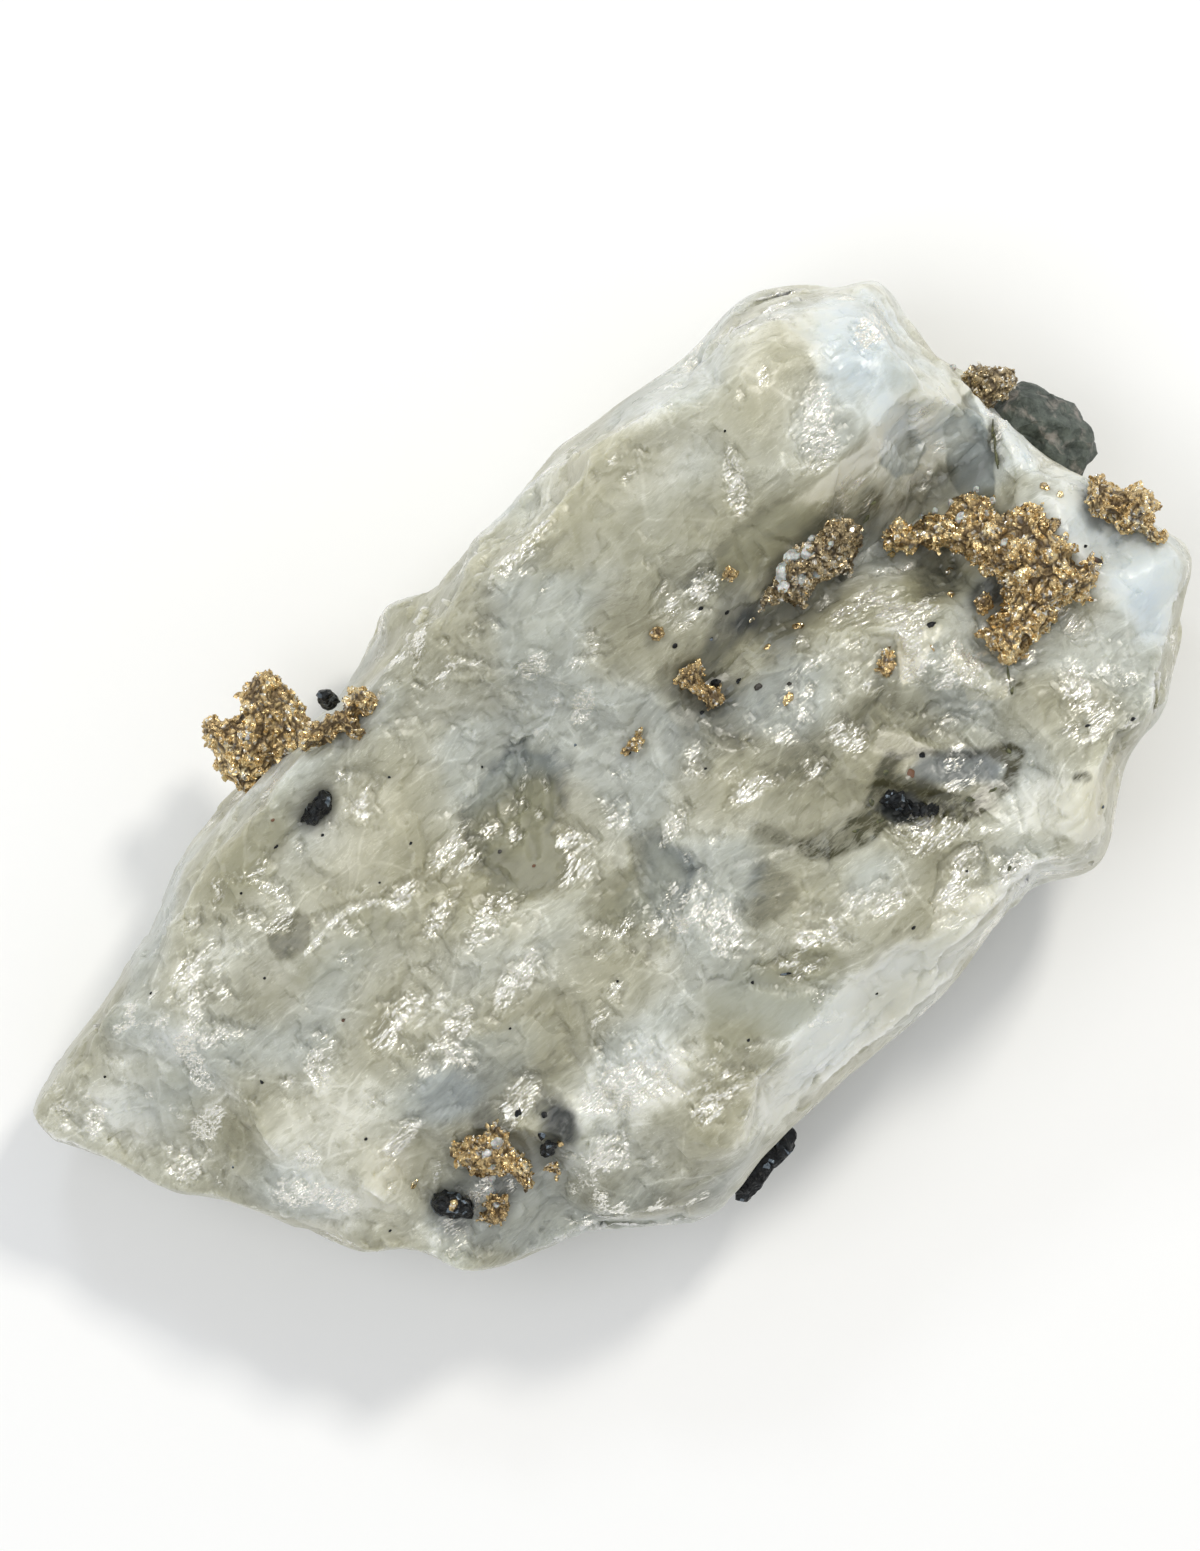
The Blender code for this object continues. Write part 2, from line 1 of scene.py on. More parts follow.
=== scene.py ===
"""A hand specimen of milky vein quartz that carries hackly growths of native metal, finished for looks.

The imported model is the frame. Every piece here stands for one of its nodes, or sits on the surface of one.
Shapes are worked out in millimetres in the frame's own axes, and MM turns them into Blender's metres.
"""

import logging
import math
import random
from dataclasses import dataclass
from enum import Enum

import bpy
import numpy as np
from mathutils import Euler, Matrix, Vector, noise
from mathutils.bvhtree import BVHTree
from mathutils.kdtree import KDTree


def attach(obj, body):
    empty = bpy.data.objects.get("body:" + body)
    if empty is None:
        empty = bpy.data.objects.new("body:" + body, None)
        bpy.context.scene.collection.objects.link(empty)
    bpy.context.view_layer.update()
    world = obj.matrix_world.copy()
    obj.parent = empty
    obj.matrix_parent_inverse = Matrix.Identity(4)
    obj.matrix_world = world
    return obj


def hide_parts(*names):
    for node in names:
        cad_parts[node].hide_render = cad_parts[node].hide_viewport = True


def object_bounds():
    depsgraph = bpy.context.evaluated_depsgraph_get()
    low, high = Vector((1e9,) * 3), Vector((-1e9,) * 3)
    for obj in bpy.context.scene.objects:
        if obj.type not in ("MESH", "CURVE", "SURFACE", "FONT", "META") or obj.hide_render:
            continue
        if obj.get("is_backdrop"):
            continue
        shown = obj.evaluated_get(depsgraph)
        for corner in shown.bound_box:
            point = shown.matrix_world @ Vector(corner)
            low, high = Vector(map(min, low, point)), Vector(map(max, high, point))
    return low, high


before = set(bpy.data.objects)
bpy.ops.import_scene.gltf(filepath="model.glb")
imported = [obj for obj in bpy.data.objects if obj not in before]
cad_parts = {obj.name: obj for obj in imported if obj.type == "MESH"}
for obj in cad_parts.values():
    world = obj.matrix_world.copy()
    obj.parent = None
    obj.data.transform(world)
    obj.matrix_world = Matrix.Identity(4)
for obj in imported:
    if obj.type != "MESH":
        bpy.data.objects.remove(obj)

MM = 0.001
ROOT = "root"
NOISE_SEED = 11
LOG = logging.getLogger("specimen")

Place = tuple[float, float]
Triple = tuple[float, float, float]
Colour = Triple


# ---------------------------------------------------------------- node trees


class Socket:
    """A node's output, with arithmetic that adds Math nodes, or Vector Math nodes for a vector."""

    def __init__(self, graph: "Graph", output: bpy.types.NodeSocket) -> None:
        """Wraps an output of one of the graph's nodes."""
        self.graph = graph
        self.output = output

    @property
    def is_vector(self) -> bool:
        """Whether the output holds three numbers."""
        return self.output.type in ("VECTOR", "RGBA")

    def maths(self, operation: str, *others: "Value") -> "Socket":
        """One Math or Vector Math node on this output and others.

        Args:
            operation: the node's operation.
            others: its further inputs.

        Returns:
            The node's result.
        """
        values = (self, *others)
        if any(isinstance(value, tuple) or getattr(value, "is_vector", False) for value in values):
            inputs = {i: self.graph.as_vector(value) for i, value in enumerate(values)}
            output = "Value" if operation == "DOT_PRODUCT" else "Vector"
            return self.graph.node("ShaderNodeVectorMath", {"operation": operation}, inputs, output)
        return self.graph.node("ShaderNodeMath", {"operation": operation}, dict(enumerate(values)))

    def sibling(self, name: str) -> "Socket":
        """Another output of the same node."""
        return Socket(self.graph, self.output.node.outputs[name])

    def __add__(self, other: "Value") -> "Socket":
        """This plus other."""
        return self.maths("ADD", other)

    def __radd__(self, other: "Value") -> "Socket":
        """Other plus this."""
        return self.maths("ADD", other)

    def __sub__(self, other: "Value") -> "Socket":
        """This minus other."""
        return self.maths("SUBTRACT", other)

    def __rsub__(self, other: "Value") -> "Socket":
        """Other minus this."""
        return self * -1.0 + other

    def __mul__(self, other: "Value") -> "Socket":
        """This times other."""
        return self.maths("MULTIPLY", other)

    def __rmul__(self, other: "Value") -> "Socket":
        """Other times this."""
        return self.maths("MULTIPLY", other)

    def step(self, low: float, high: float) -> "Socket":
        """A smooth rise from 0 where this is low to 1 where it is high."""
        settings = {"interpolation_type": "SMOOTHSTEP"}
        inputs = {"Value": self, "From Min": low, "From Max": high}
        return self.graph.node("ShaderNodeMapRange", settings, inputs, "Result")

    def clamped(self) -> "Socket":
        """This, kept from 0 to 1."""
        return self.graph.node("ShaderNodeClamp", {}, {"Value": self}, "Result")


Value = Socket | float | tuple


class Graph:
    """A node tree, and what makes its nodes."""

    def __init__(self, tree: bpy.types.NodeTree) -> None:
        """Takes an empty tree."""
        self.tree = tree

    def node(self, kind: str, settings: dict, inputs: dict, output: str | int = 0) -> Socket:
        """Adds a node: its type and settings first, then its inputs.

        Args:
            kind: the node's type.
            settings: its properties.
            inputs: values or sockets by input name or number.
            output: the output that is wanted.

        Returns:
            That output.
        """
        made = self.tree.nodes.new(kind)
        for name, value in settings.items():
            if name == "stops":
                self.set_stops(made.color_ramp, value)
            else:
                setattr(made, name, value)
        for name, value in inputs.items():
            if isinstance(value, Socket):
                self.tree.links.new(value.output, made.inputs[name])
            elif isinstance(value, tuple) and made.inputs[name].type == "RGBA":
                made.inputs[name].default_value = (*value, 1.0)
            else:
                made.inputs[name].default_value = value
        return Socket(self, made.outputs[output])

    def set_stops(self, ramp: bpy.types.ColorRamp, stops: tuple) -> None:
        """Gives a colour ramp its stops, each a place from 0 to 1 and a colour."""
        while len(ramp.elements) < len(stops):
            ramp.elements.new(0.5)
        for element, (place, colour) in zip(ramp.elements, stops):
            element.position = place
            element.color = (*colour, 1.0)

    def as_vector(self, value: Value) -> Value:
        """A number as a vector of three of it, and anything else unchanged."""
        return (value, value, value) if isinstance(value, (int, float)) else value

    def end(self, kind: str, result: Socket) -> None:
        """Adds the tree's last node, which has no output of its own."""
        self.tree.links.new(result.output, self.tree.nodes.new(kind).inputs[0])


class MaterialGraph(Graph):
    """A new material's node tree, with the patterns that the finishes share."""

    def __init__(self, name: str) -> None:
        """Starts a material with an empty tree."""
        self.material = bpy.data.materials.new(name)
        self.material.use_nodes = True
        super().__init__(self.material.node_tree)
        self.tree.nodes.clear()

    def position(self) -> Socket:
        """The surface point in the frame's own axes, in millimetres."""
        return self.node("ShaderNodeTexCoord", {}, {}, "Object") * (1.0 / MM)

    def attribute(self, name: str) -> Socket:
        """A mask stored on the mesh."""
        return self.node("ShaderNodeAttribute", {"attribute_name": name}, {}, "Fac")

    def noise(self, place: Socket, scale: float, detail: float = 3.0, roughness: float = 0.5) -> Socket:
        """Fractal noise from 0 to 1, about scale features to the millimetre."""
        inputs = {"Vector": place, "Scale": scale, "Detail": detail, "Roughness": roughness}
        return self.node("ShaderNodeTexNoise", {}, inputs, "Fac")

    def wander(self, place: Socket, scale: float, reach: float) -> Socket:
        """The place moved about by noise, up to about half the reach each way."""
        inputs = {"Vector": place, "Scale": scale, "Detail": 2.0}
        drift = self.node("ShaderNodeTexNoise", {}, inputs, "Color")
        return place + (drift - (0.5, 0.5, 0.5)) * reach

    def cells(self, place: Socket, scale: float, output: str = "Distance", feature: str = "F1") -> Socket:
        """Voronoi cells, about scale to the millimetre."""
        inputs = {"Vector": place, "Scale": scale}
        return self.node("ShaderNodeTexVoronoi", {"feature": feature}, inputs, output)

    def facets(self, cells: Socket, place: Socket, tilt: float) -> Socket:
        """The height of flat facets that each tilt their own way.

        Args:
            cells: the colour output of the cells that are the facets.
            place: where the surface point is.
            tilt: the steepest slope.

        Returns:
            The height, in millimetres.
        """
        slope = (cells - (0.5, 0.5, 0.5)) * (2.0 * tilt)
        return slope.maths("DOT_PRODUCT", place - cells.sibling("Position"))

    def ramp(self, factor: Value, stops: tuple) -> Socket:
        """A colour ramp over stops, each a place from 0 to 1 and a colour."""
        return self.node("ShaderNodeValToRGB", {"stops": stops}, {"Fac": factor}, "Color")

    def mix(self, factor: Value, first: Value, second: Value) -> Socket:
        """First where the factor is 0, second where it is 1."""
        inputs = {"Factor": factor, 6: first, 7: second}
        settings = {"data_type": "RGBA", "clamp_factor": True}
        return self.node("ShaderNodeMix", settings, inputs, 2)

    def finish(self, normal_height: Socket | None, constants: dict, varying: dict) -> bpy.types.Material:
        """Adds the Principled shader and the material's output.

        Args:
            normal_height: the surface's fine height in millimetres, or None for a smooth one.
            constants: values that are the same all over.
            varying: sockets that vary over the surface.

        Returns:
            The material.
        """
        inputs = {**constants, **varying}
        if normal_height is not None:
            heights = {"Strength": 1.0, "Distance": MM, "Height": normal_height}
            inputs["Normal"] = self.node("ShaderNodeBump", {}, heights, "Normal")
        shader = self.node("ShaderNodeBsdfPrincipled", {"subsurface_method": "RANDOM_WALK"}, inputs, "BSDF")
        self.end("ShaderNodeOutputMaterial", shader)
        return self.material


# ---------------------------------------------------------------- finishes


class Mask(Enum):
    """What a part of the quartz adds to: the name of a mask stored on the mesh."""

    MILK_AND_PAINTED_LIGHT = "milk_and_painted_light"
    TAN = "tan"
    OLIVE = "olive"
    SMOKE = "smoke_and_painted_shade"
    HACKLE = "hackle"
    COOL_AND_PAINTED_LIGHT = "cool_and_painted_light"
    WARM = "warm"


@dataclass(frozen=True)
class MilkyQuartz:
    """Milky, greenish-grey vein quartz: clouded depth, grains of differing grey, glassy hackly breaks with
    painted glints, and masks that also carry painted light and painted shade.
    """

    tones: tuple[tuple[float, Colour], ...] = (
        (0.00, (0.120, 0.122, 0.088)),
        (0.25, (0.232, 0.226, 0.166)),
        (0.50, (0.382, 0.377, 0.296)),
        (0.75, (0.545, 0.544, 0.458)),
        (1.00, (0.790, 0.790, 0.715)),
    )
    tan: Colour = (0.335, 0.326, 0.220)
    olive: Colour = (0.070, 0.066, 0.030)
    smoke_and_painted_shade: Colour = (0.050, 0.054, 0.050)
    cool_and_painted_light: Colour = (0.580, 0.670, 0.745)
    # The next colour is a painted highlight: the near-white of glints on the hackly flecks.
    painted_glint: Colour = (0.980, 0.955, 0.860)

    def make(self) -> bpy.types.Material:
        """The material, which reads the masks of the class Mask."""
        graph = MaterialGraph("milky_quartz")
        place = graph.position()
        bent = graph.wander(place, 0.22, 1.6)
        fibres = graph.noise(bent * (0.20, 1.0, 1.0), 3.0, 3.0, 0.75)
        wisps = graph.noise(bent * (0.7, 1.0, 1.0), 0.55, 3.0, 0.65)
        hackle = (graph.attribute(Mask.HACKLE.value) * ((fibres + wisps) * 1.9 - 0.75)).clamped()
        strokes = bent * (0.42, 1.25, 1.0)
        coarse = graph.cells(strokes, 1.6, "Color")
        fine = graph.cells(strokes, 4.6, "Color")
        ribs = graph.noise(bent * (0.30, 1.6, 1.3), 4.8, 2.0, 0.6)
        breaks = graph.facets(coarse, strokes, 0.18) + graph.facets(fine, strokes, 0.20)
        grain = graph.cells(bent * (0.6, 1.0, 1.0), 0.34, "Color").maths("DOT_PRODUCT", (0.34, 0.33, 0.33))
        seams = graph.cells(bent * (0.5, 1.0, 1.0), 0.20, "Distance", "DISTANCE_TO_EDGE").step(0.022, 0.0)
        threads = (1.0 - (fibres - 0.5).maths("ABSOLUTE") * 22.0).clamped() * (wisps * 3.0 - 1.1).clamped()
        tone = fine.maths("DOT_PRODUCT", (0.0, 1.0, 0.0))
        pale_fleck_and_painted_glint = (tone * 0.30 + ribs * 1.2 + hackle * 0.30).step(0.99, 1.06)
        dark_fleck = tone.step(0.10, 0.04)
        milk_and_painted_light = graph.attribute(Mask.MILK_AND_PAINTED_LIGHT.value) + (grain - 0.5) * 0.26 + (fibres - 0.5) * 0.36
        milk_and_painted_light = milk_and_painted_light + (wisps - 0.5) * 0.45 + threads * 0.20 + seams * (wisps * 0.36 - 0.05)
        milk_and_painted_light = milk_and_painted_light + pale_fleck_and_painted_glint * 0.16 - dark_fleck * 0.10 + hackle * 0.08
        # The milk mask also holds painted light and painted shade, which this ramp paints into the base
        # colour.
        colour = graph.ramp(milk_and_painted_light, self.tones)
        ragged = (wisps + fibres) * 0.7 + 0.3
        colour = graph.mix(graph.attribute(Mask.WARM.value), colour, colour * (1.035, 0.995, 0.90))
        tan = (graph.attribute(Mask.TAN.value) * ragged).clamped()
        colour = graph.mix(tan * 0.75, colour, self.tan)
        cool_and_painted_light = (graph.attribute(Mask.COOL_AND_PAINTED_LIGHT.value) * ragged).clamped()
        # The cool tint is partly painted light: on the right end, the lower bevel and the far trench wall it
        # stands in for the cool side light.
        colour = graph.mix(cool_and_painted_light * 0.75, colour, self.cool_and_painted_light)
        speckle = (fibres * 0.5 + wisps * 0.5).step(0.40, 0.60)
        olive = (graph.attribute(Mask.OLIVE.value) * (speckle * 0.8 + 0.3)).clamped()
        colour = graph.mix(olive, colour, self.olive)
        # The smoke mask is partly painted shade: round the foot's growths, under the slab's edge and in
        # hollows beside the metal.
        smoke_and_painted_shade = (graph.attribute(Mask.SMOKE.value) * ragged).clamped()
        colour = graph.mix(smoke_and_painted_shade, colour, self.smoke_and_painted_shade)
        # Painted highlight: in hackly places the flecks take a near-white glint colour in the base colour,
        # besides their metallic sheen.
        colour = graph.mix(pale_fleck_and_painted_glint * (hackle * 1.3).clamped(), colour, self.painted_glint)
        sheen = pale_fleck_and_painted_glint * (hackle * 0.75)
        height = breaks * (hackle * 0.52 + 0.13) + ribs * (hackle * 0.12 + 0.010)
        rough = (wisps * 0.24 + 0.20 - hackle * 0.28).maths("MAXIMUM", 0.07)
        constants = {
            "IOR": 1.54,
            "Subsurface Weight": 1.0,
            "Subsurface Radius": (1.0, 0.98, 0.86),
            "Subsurface Scale": 1.8 * MM,
        }
        return graph.finish(height, constants, {"Base Color": colour, "Roughness": rough, "Metallic": sheen})


@dataclass(frozen=True)
class NativeMetal:
    """Golden native metal: bright on its crystals, bronze on its sides and brown deep in its pits, partly
    tarnish and partly painted shade.
    """

    name: str = "native_metal"
    bright: Colour = (0.98, 0.88, 0.62)
    gold: Colour = (0.84, 0.64, 0.33)
    bronze: Colour = (0.46, 0.33, 0.165)
    brown: Colour = (0.085, 0.055, 0.030)
    pale: Colour = (0.86, 0.84, 0.78)

    def make(self) -> bpy.types.Material:
        """The material, which reads the mask "pit"."""
        graph = MaterialGraph(self.name)
        place = graph.position()
        patches = graph.noise(place, 0.55, 3.0, 0.62)
        sparkle = graph.noise(place, 3.6, 3.0, 0.7)
        cells = graph.cells(place, 4.5, "Color")
        lone = cells.maths("DOT_PRODUCT", (0.0, 1.0, 0.0))
        tone = patches * 1.05 + sparkle * 0.45 + lone * 0.16 - 0.17
        colour = graph.mix(tone.step(0.48, 0.72), self.bronze, self.gold)
        colour = graph.mix(tone.step(0.72, 0.86), colour, self.bright)
        colour = graph.mix((lone + patches * 0.6).step(1.14, 1.24), colour, self.pale)
        pit = (graph.attribute("pit") + (sparkle - 0.5) * 0.4).clamped()
        # Painted shade, partly tarnish: the pits are darkened towards brown.
        colour = graph.mix(pit.step(0.30, 0.95) * 0.9, colour, self.brown)
        rough = 0.40 - sparkle * 0.40 + pit * 0.30
        height = graph.facets(cells, place, 0.45) + sparkle * 0.04
        varying = {"Base Color": colour, "Roughness": rough, "Metallic": 1.0 - pit * 0.5}
        return graph.finish(height, {}, varying)


TARNISHED_METAL = NativeMetal(
    "tarnished_metal", (0.90, 0.86, 0.76), (0.60, 0.48, 0.29), (0.32, 0.25, 0.145), (0.07, 0.05, 0.03)
)


@dataclass(frozen=True)
class BlackSulphide:
    """A black mineral, dull in its hollows, with small lustrous breaks that catch a slight blue."""

    black: Colour = (0.006, 0.0065, 0.007)
    grey: Colour = (0.022, 0.027, 0.031)
    blue: Colour = (0.17, 0.205, 0.24)

    def make(self) -> bpy.types.Material:
        """The material."""
        graph = MaterialGraph("black_sulphide")
        place = graph.position()
        patches = graph.noise(place, 2.2, 5.0, 0.65).step(0.45, 0.75)
        colour = graph.mix(patches, self.black, self.grey)
        height = graph.cells(graph.wander(place, 2.0, 0.4), 3.2) * 0.10 + graph.noise(place, 7.0) * 0.03
        rough = graph.noise(place, 3.0, 3.0) * 0.45 + 0.12
        lustre = graph.cells(place, 2.6, "Color").maths("DOT_PRODUCT", (0.0, 1.0, 0.0)).step(0.90, 0.93)
        colour = graph.mix(lustre, colour, self.blue)
        varying = {"Base Color": colour, "Roughness": rough, "Metallic": lustre * 0.7}
        return graph.finish(height, {"IOR": 1.33}, varying)


@dataclass(frozen=True)
class Wallrock:
    """Dull dark green-grey rock with pinkish-white smears and darker flecks."""

    dark: Colour = (0.040, 0.050, 0.042)
    middle: Colour = (0.115, 0.135, 0.115)
    smear: Colour = (0.42, 0.37, 0.33)

    def make(self) -> bpy.types.Material:
        """The material."""
        graph = MaterialGraph("dark_wallrock")
        place = graph.position()
        mottle = graph.noise(place, 1.0, 6.0, 0.7)
        colour = graph.mix(mottle.step(0.35, 0.65), self.dark, self.middle)
        smears = graph.noise(graph.wander(place, 0.8, 1.2) * (1.0, 0.6, 1.0), 0.8, 4.0, 0.6)
        colour = graph.mix(smears.step(0.52, 0.68) * 0.55, colour, self.smear)
        flecks = graph.cells(place, 2.8).step(0.16, 0.08)
        colour = graph.mix(flecks * 0.8, colour, self.dark)
        height = graph.noise(place, 1.6, 6.0, 0.65) * 0.22
        rough = mottle * 0.3 + 0.45
        return graph.finish(height, {}, {"Base Color": colour, "Roughness": rough})


@dataclass(frozen=True)
class ClearGrain:
    """Small clear to white quartz grains held in the metal."""

    white: Colour = (0.66, 0.68, 0.66)
    grey: Colour = (0.34, 0.35, 0.33)

    def make(self) -> bpy.types.Material:
        """The material."""
        graph = MaterialGraph("quartz_grains")
        place = graph.position()
        colour = graph.mix(graph.noise(place, 2.0, 4.0, 0.6).step(0.4, 0.65), self.grey, self.white)
        height = graph.cells(place, 3.0) * 0.10
        constants = {"IOR": 1.54, "Subsurface Weight": 0.35, "Subsurface Scale": 0.6 * MM, "Roughness": 0.16}
        return graph.finish(height, constants, {"Base Color": colour})


@dataclass(frozen=True)
class Speck:
    """Tiny dark to rusty grains in the quartz."""

    dark: Colour = (0.030, 0.026, 0.020)
    rust: Colour = (0.150, 0.070, 0.035)

    def make(self) -> bpy.types.Material:
        """The material."""
        graph = MaterialGraph("mineral_specks")
        place = graph.position()
        colour = graph.mix(graph.noise(place, 0.35, 2.0).step(0.50, 0.62), self.dark, self.rust)
        height = graph.noise(place, 9.0) * 0.03
        rough = graph.noise(place, 4.0) * 0.4 + 0.25
        return graph.finish(height, {}, {"Base Color": colour, "Roughness": rough})


@dataclass(frozen=True)
class OliveMineral:
    """Olive-green mineral blades."""

    olive: Colour = (0.120, 0.125, 0.050)
    dark: Colour = (0.045, 0.048, 0.022)

    def make(self) -> bpy.types.Material:
        """The material."""
        graph = MaterialGraph("olive_mineral")
        place = graph.position()
        colour = graph.mix(graph.noise(place, 2.5, 4.0, 0.6).step(0.4, 0.6), self.dark, self.olive)
        height = graph.noise(place, 6.0, 4.0) * 0.04
        rough = graph.noise(place, 3.0) * 0.3 + 0.35
        return graph.finish(height, {}, {"Base Color": colour, "Roughness": rough})


@dataclass(frozen=True)
class StudioPaper:
    """The plain pale sheet that the specimen lies on."""

    colour: Colour = (0.93, 0.93, 0.93)

    def make(self) -> bpy.types.Material:
        """The material."""
        graph = MaterialGraph("studio_paper")
        tooth = graph.noise(graph.position(), 0.8, 2.0)
        rough = tooth * 0.05 + 0.85
        constants = {"Base Color": self.colour, "Specular IOR Level": 0.1}
        return graph.finish(None, constants, {"Roughness": rough})


# ---------------------------------------------------------------- mesh helpers


def select_only(piece: bpy.types.Object) -> None:
    """Selects one object, with nothing else selected, and makes it active."""
    bpy.ops.object.select_all(action="DESELECT")
    piece.select_set(True)
    bpy.context.view_layer.objects.active = piece


def apply_modifiers(piece: bpy.types.Object) -> None:
    """Applies all of an object's modifiers, in their order."""
    select_only(piece)
    for modifier in list(piece.modifiers):
        bpy.ops.object.modifier_apply(modifier=modifier.name)


def node_copy(node: str, name: str) -> bpy.types.Object:
    """A piece that starts as a copy of a CAD node, with its loose triangles merged.

    Args:
        node: the CAD node's name.
        name: the piece's name.

    Returns:
        The piece.
    """
    piece = bpy.data.objects.new(name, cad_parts[node].data.copy())
    bpy.context.scene.collection.objects.link(piece)
    piece.data.name = name
    piece.data.materials.clear()
    select_only(piece)
    bpy.ops.object.mode_set(mode="EDIT")
    bpy.ops.mesh.select_all(action="SELECT")
    bpy.ops.mesh.remove_doubles(threshold=0.001 * MM)
    bpy.ops.mesh.normals_make_consistent(inside=False)
    bpy.ops.object.mode_set(mode="OBJECT")
    return piece


def remesh(piece: bpy.types.Object, size: float) -> None:
    """Gives a closed piece an even mesh, of a size in millimetres."""
    even = piece.modifiers.new("even mesh", "REMESH")
    even.mode = "VOXEL"
    even.voxel_size = size * MM
    apply_modifiers(piece)


def points_of(mesh: bpy.types.Mesh) -> np.ndarray:
    """A mesh's vertices, in millimetres."""
    flat = np.empty(len(mesh.vertices) * 3, np.float32)
    mesh.vertices.foreach_get("co", flat)
    return flat.reshape(-1, 3).astype(np.float64) / MM


def normals_of(mesh: bpy.types.Mesh) -> np.ndarray:
    """A mesh's vertex normals."""
    flat = np.empty(len(mesh.vertices) * 3, np.float32)
    mesh.vertex_normals.foreach_get("vector", flat)
    return flat.reshape(-1, 3).astype(np.float64)


def place_points(mesh: bpy.types.Mesh, points: np.ndarray) -> None:
    """Moves a mesh's vertices to places in millimetres, kept inside the frame's box."""
    inside = np.clip(points, BOX_LOW, BOX_HIGH)
    mesh.vertices.foreach_set("co", (inside * MM).astype(np.float32).ravel())
    mesh.update()


def store_mask(mesh: bpy.types.Mesh, name: str, values: np.ndarray) -> None:
    """Stores one number for each vertex under a name that materials read."""
    mask = mesh.attributes.new(name, "FLOAT", "POINT")
    mask.data.foreach_set("value", values.astype(np.float32))


def dress(piece: bpy.types.Object, material: bpy.types.Material) -> None:
    """Gives a piece one material and no other."""
    piece.data.materials.clear()
    piece.data.materials.append(material)


def settle(piece: bpy.types.Object, material: bpy.types.Material, slot: str, *nodes: str) -> None:
    """Dresses a finished piece, attaches it to the root body and hides the CAD nodes that it stands for.

    Args:
        piece: the finished piece.
        material: its material.
        slot: the record's material slot; not used.
        nodes: the CAD nodes that it replaces.
    """
    dress(piece, material)
    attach(piece, ROOT)
    if nodes:
        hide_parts(*nodes)
    LOG.info("%s: %d faces", piece.name, len(piece.data.polygons))


def eased(share: np.ndarray) -> np.ndarray:
    """A straight rise from 0 to 1 made smooth at both ends."""
    return share * share * (3.0 - 2.0 * share)


def noise_over(points: np.ndarray) -> np.ndarray:
    """Smooth noise, from about -1 to 1, at each point."""
    return np.array([noise.noise(Vector(point)) for point in points])


def inside_cell(place: Vector, metric: str) -> float:
    """How far a place is inside its Voronoi cell: 0 on the cell's border and 1 well away from it."""
    distances = noise.voronoi(place, distance_metric=metric)[0]
    return min(distances[1] - distances[0], 0.5) * 2.0


def nearness(points: np.ndarray, x: float, y: float, radius: float) -> np.ndarray:
    """1 at a place seen from above, and 0 from a radius away, with a smooth fall between."""
    return eased(np.clip(1.0 - np.hypot(points[:, 0] - x, points[:, 1] - y) / radius, 0.0, 1.0))


def turned(points: np.ndarray, x: float, y: float, bearing: float) -> tuple[np.ndarray, np.ndarray]:
    """How far points lie along and across a line through a place at a bearing, seen from above.

    Args:
        points: the points, in millimetres.
        x: the place's x.
        y: the place's y.
        bearing: the line's bearing from +X, in degrees.

    Returns:
        The distances along it and across it.
    """
    angle = math.radians(bearing)
    offset_x, offset_y = points[:, 0] - x, points[:, 1] - y
    along = offset_x * math.cos(angle) + offset_y * math.sin(angle)
    across = offset_y * math.cos(angle) - offset_x * math.sin(angle)
    return along, across


BOX_LOW, BOX_HIGH = (np.array(corner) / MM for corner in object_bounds())


# ---------------------------------------------------------------- the quartz block


@dataclass(frozen=True)
class Zone:
    """A part of the quartz that adds to a mask: an ellipse with ragged edges, seen from above."""

    x: float
    y: float
    half_length: float
    half_width: float
    bearing: float = 0.0
    strength: float = 1.0
    softness: float = 0.6
    reach: float = 1.12

    def share(self, points: np.ndarray, wobble: np.ndarray) -> np.ndarray:
        """How far inside the wavering ellipse points are, from 0 to 1."""
        along, across = turned(points, self.x, self.y, self.bearing)
        far = np.hypot(along / self.half_length, across / self.half_width) + wobble
        return eased(np.clip((self.reach - far) / self.softness, 0.0, 1.0))


def zones(*rows: tuple[float, ...]) -> tuple[Zone, ...]:
    """Zones, each given by its fields in their order, with the last ones left out where they are usual."""
    return tuple(Zone(*row) for row in rows)


@dataclass(frozen=True)
class Patch:
    """A part of the quartz with a sharp edge: a convex outline seen from above, anticlockwise."""

    corners: tuple[Place, ...]
    strength: float
    softness: float = 0.16
    waver: float = 0.4

    def share(self, points: np.ndarray, wobble: np.ndarray) -> np.ndarray:
        """How far inside the wavering outline points are, from 0 to 1."""
        inside = np.full(len(points), np.inf)
        for (x, y), (next_x, next_y) in zip(self.corners, self.corners[1:] + self.corners[:1]):
            bearing = math.degrees(math.atan2(next_y - y, next_x - x))
            inside = np.minimum(inside, turned(points, x, y, bearing)[1])
        return np.clip((inside + self.waver * wobble) / self.softness + 0.5, 0.0, 1.0)


@dataclass(frozen=True)
class Vein:
    """A narrow dark stretch of the quartz along a line seen from above."""

    line: tuple[Place, ...]
    half_width: float
    strength: float
    waver: float = 0.4
    reach: float = 1.6

    def share(self, points: np.ndarray, wobble: np.ndarray) -> np.ndarray:
        """How near the wavering middle of the vein points are, from 0 to 1."""
        gap = np.full(len(points), np.inf)
        for (x, y), (next_x, next_y) in zip(self.line, self.line[1:]):
            bearing = math.degrees(math.atan2(next_y - y, next_x - x))
            along, across = turned(points, x, y, bearing)
            past = along - np.clip(along, 0.0, math.hypot(next_x - x, next_y - y))
            gap = np.minimum(gap, np.hypot(past, across))
        return np.clip(self.reach - (gap + self.waver * wobble) / self.half_width, 0.0, 1.0)


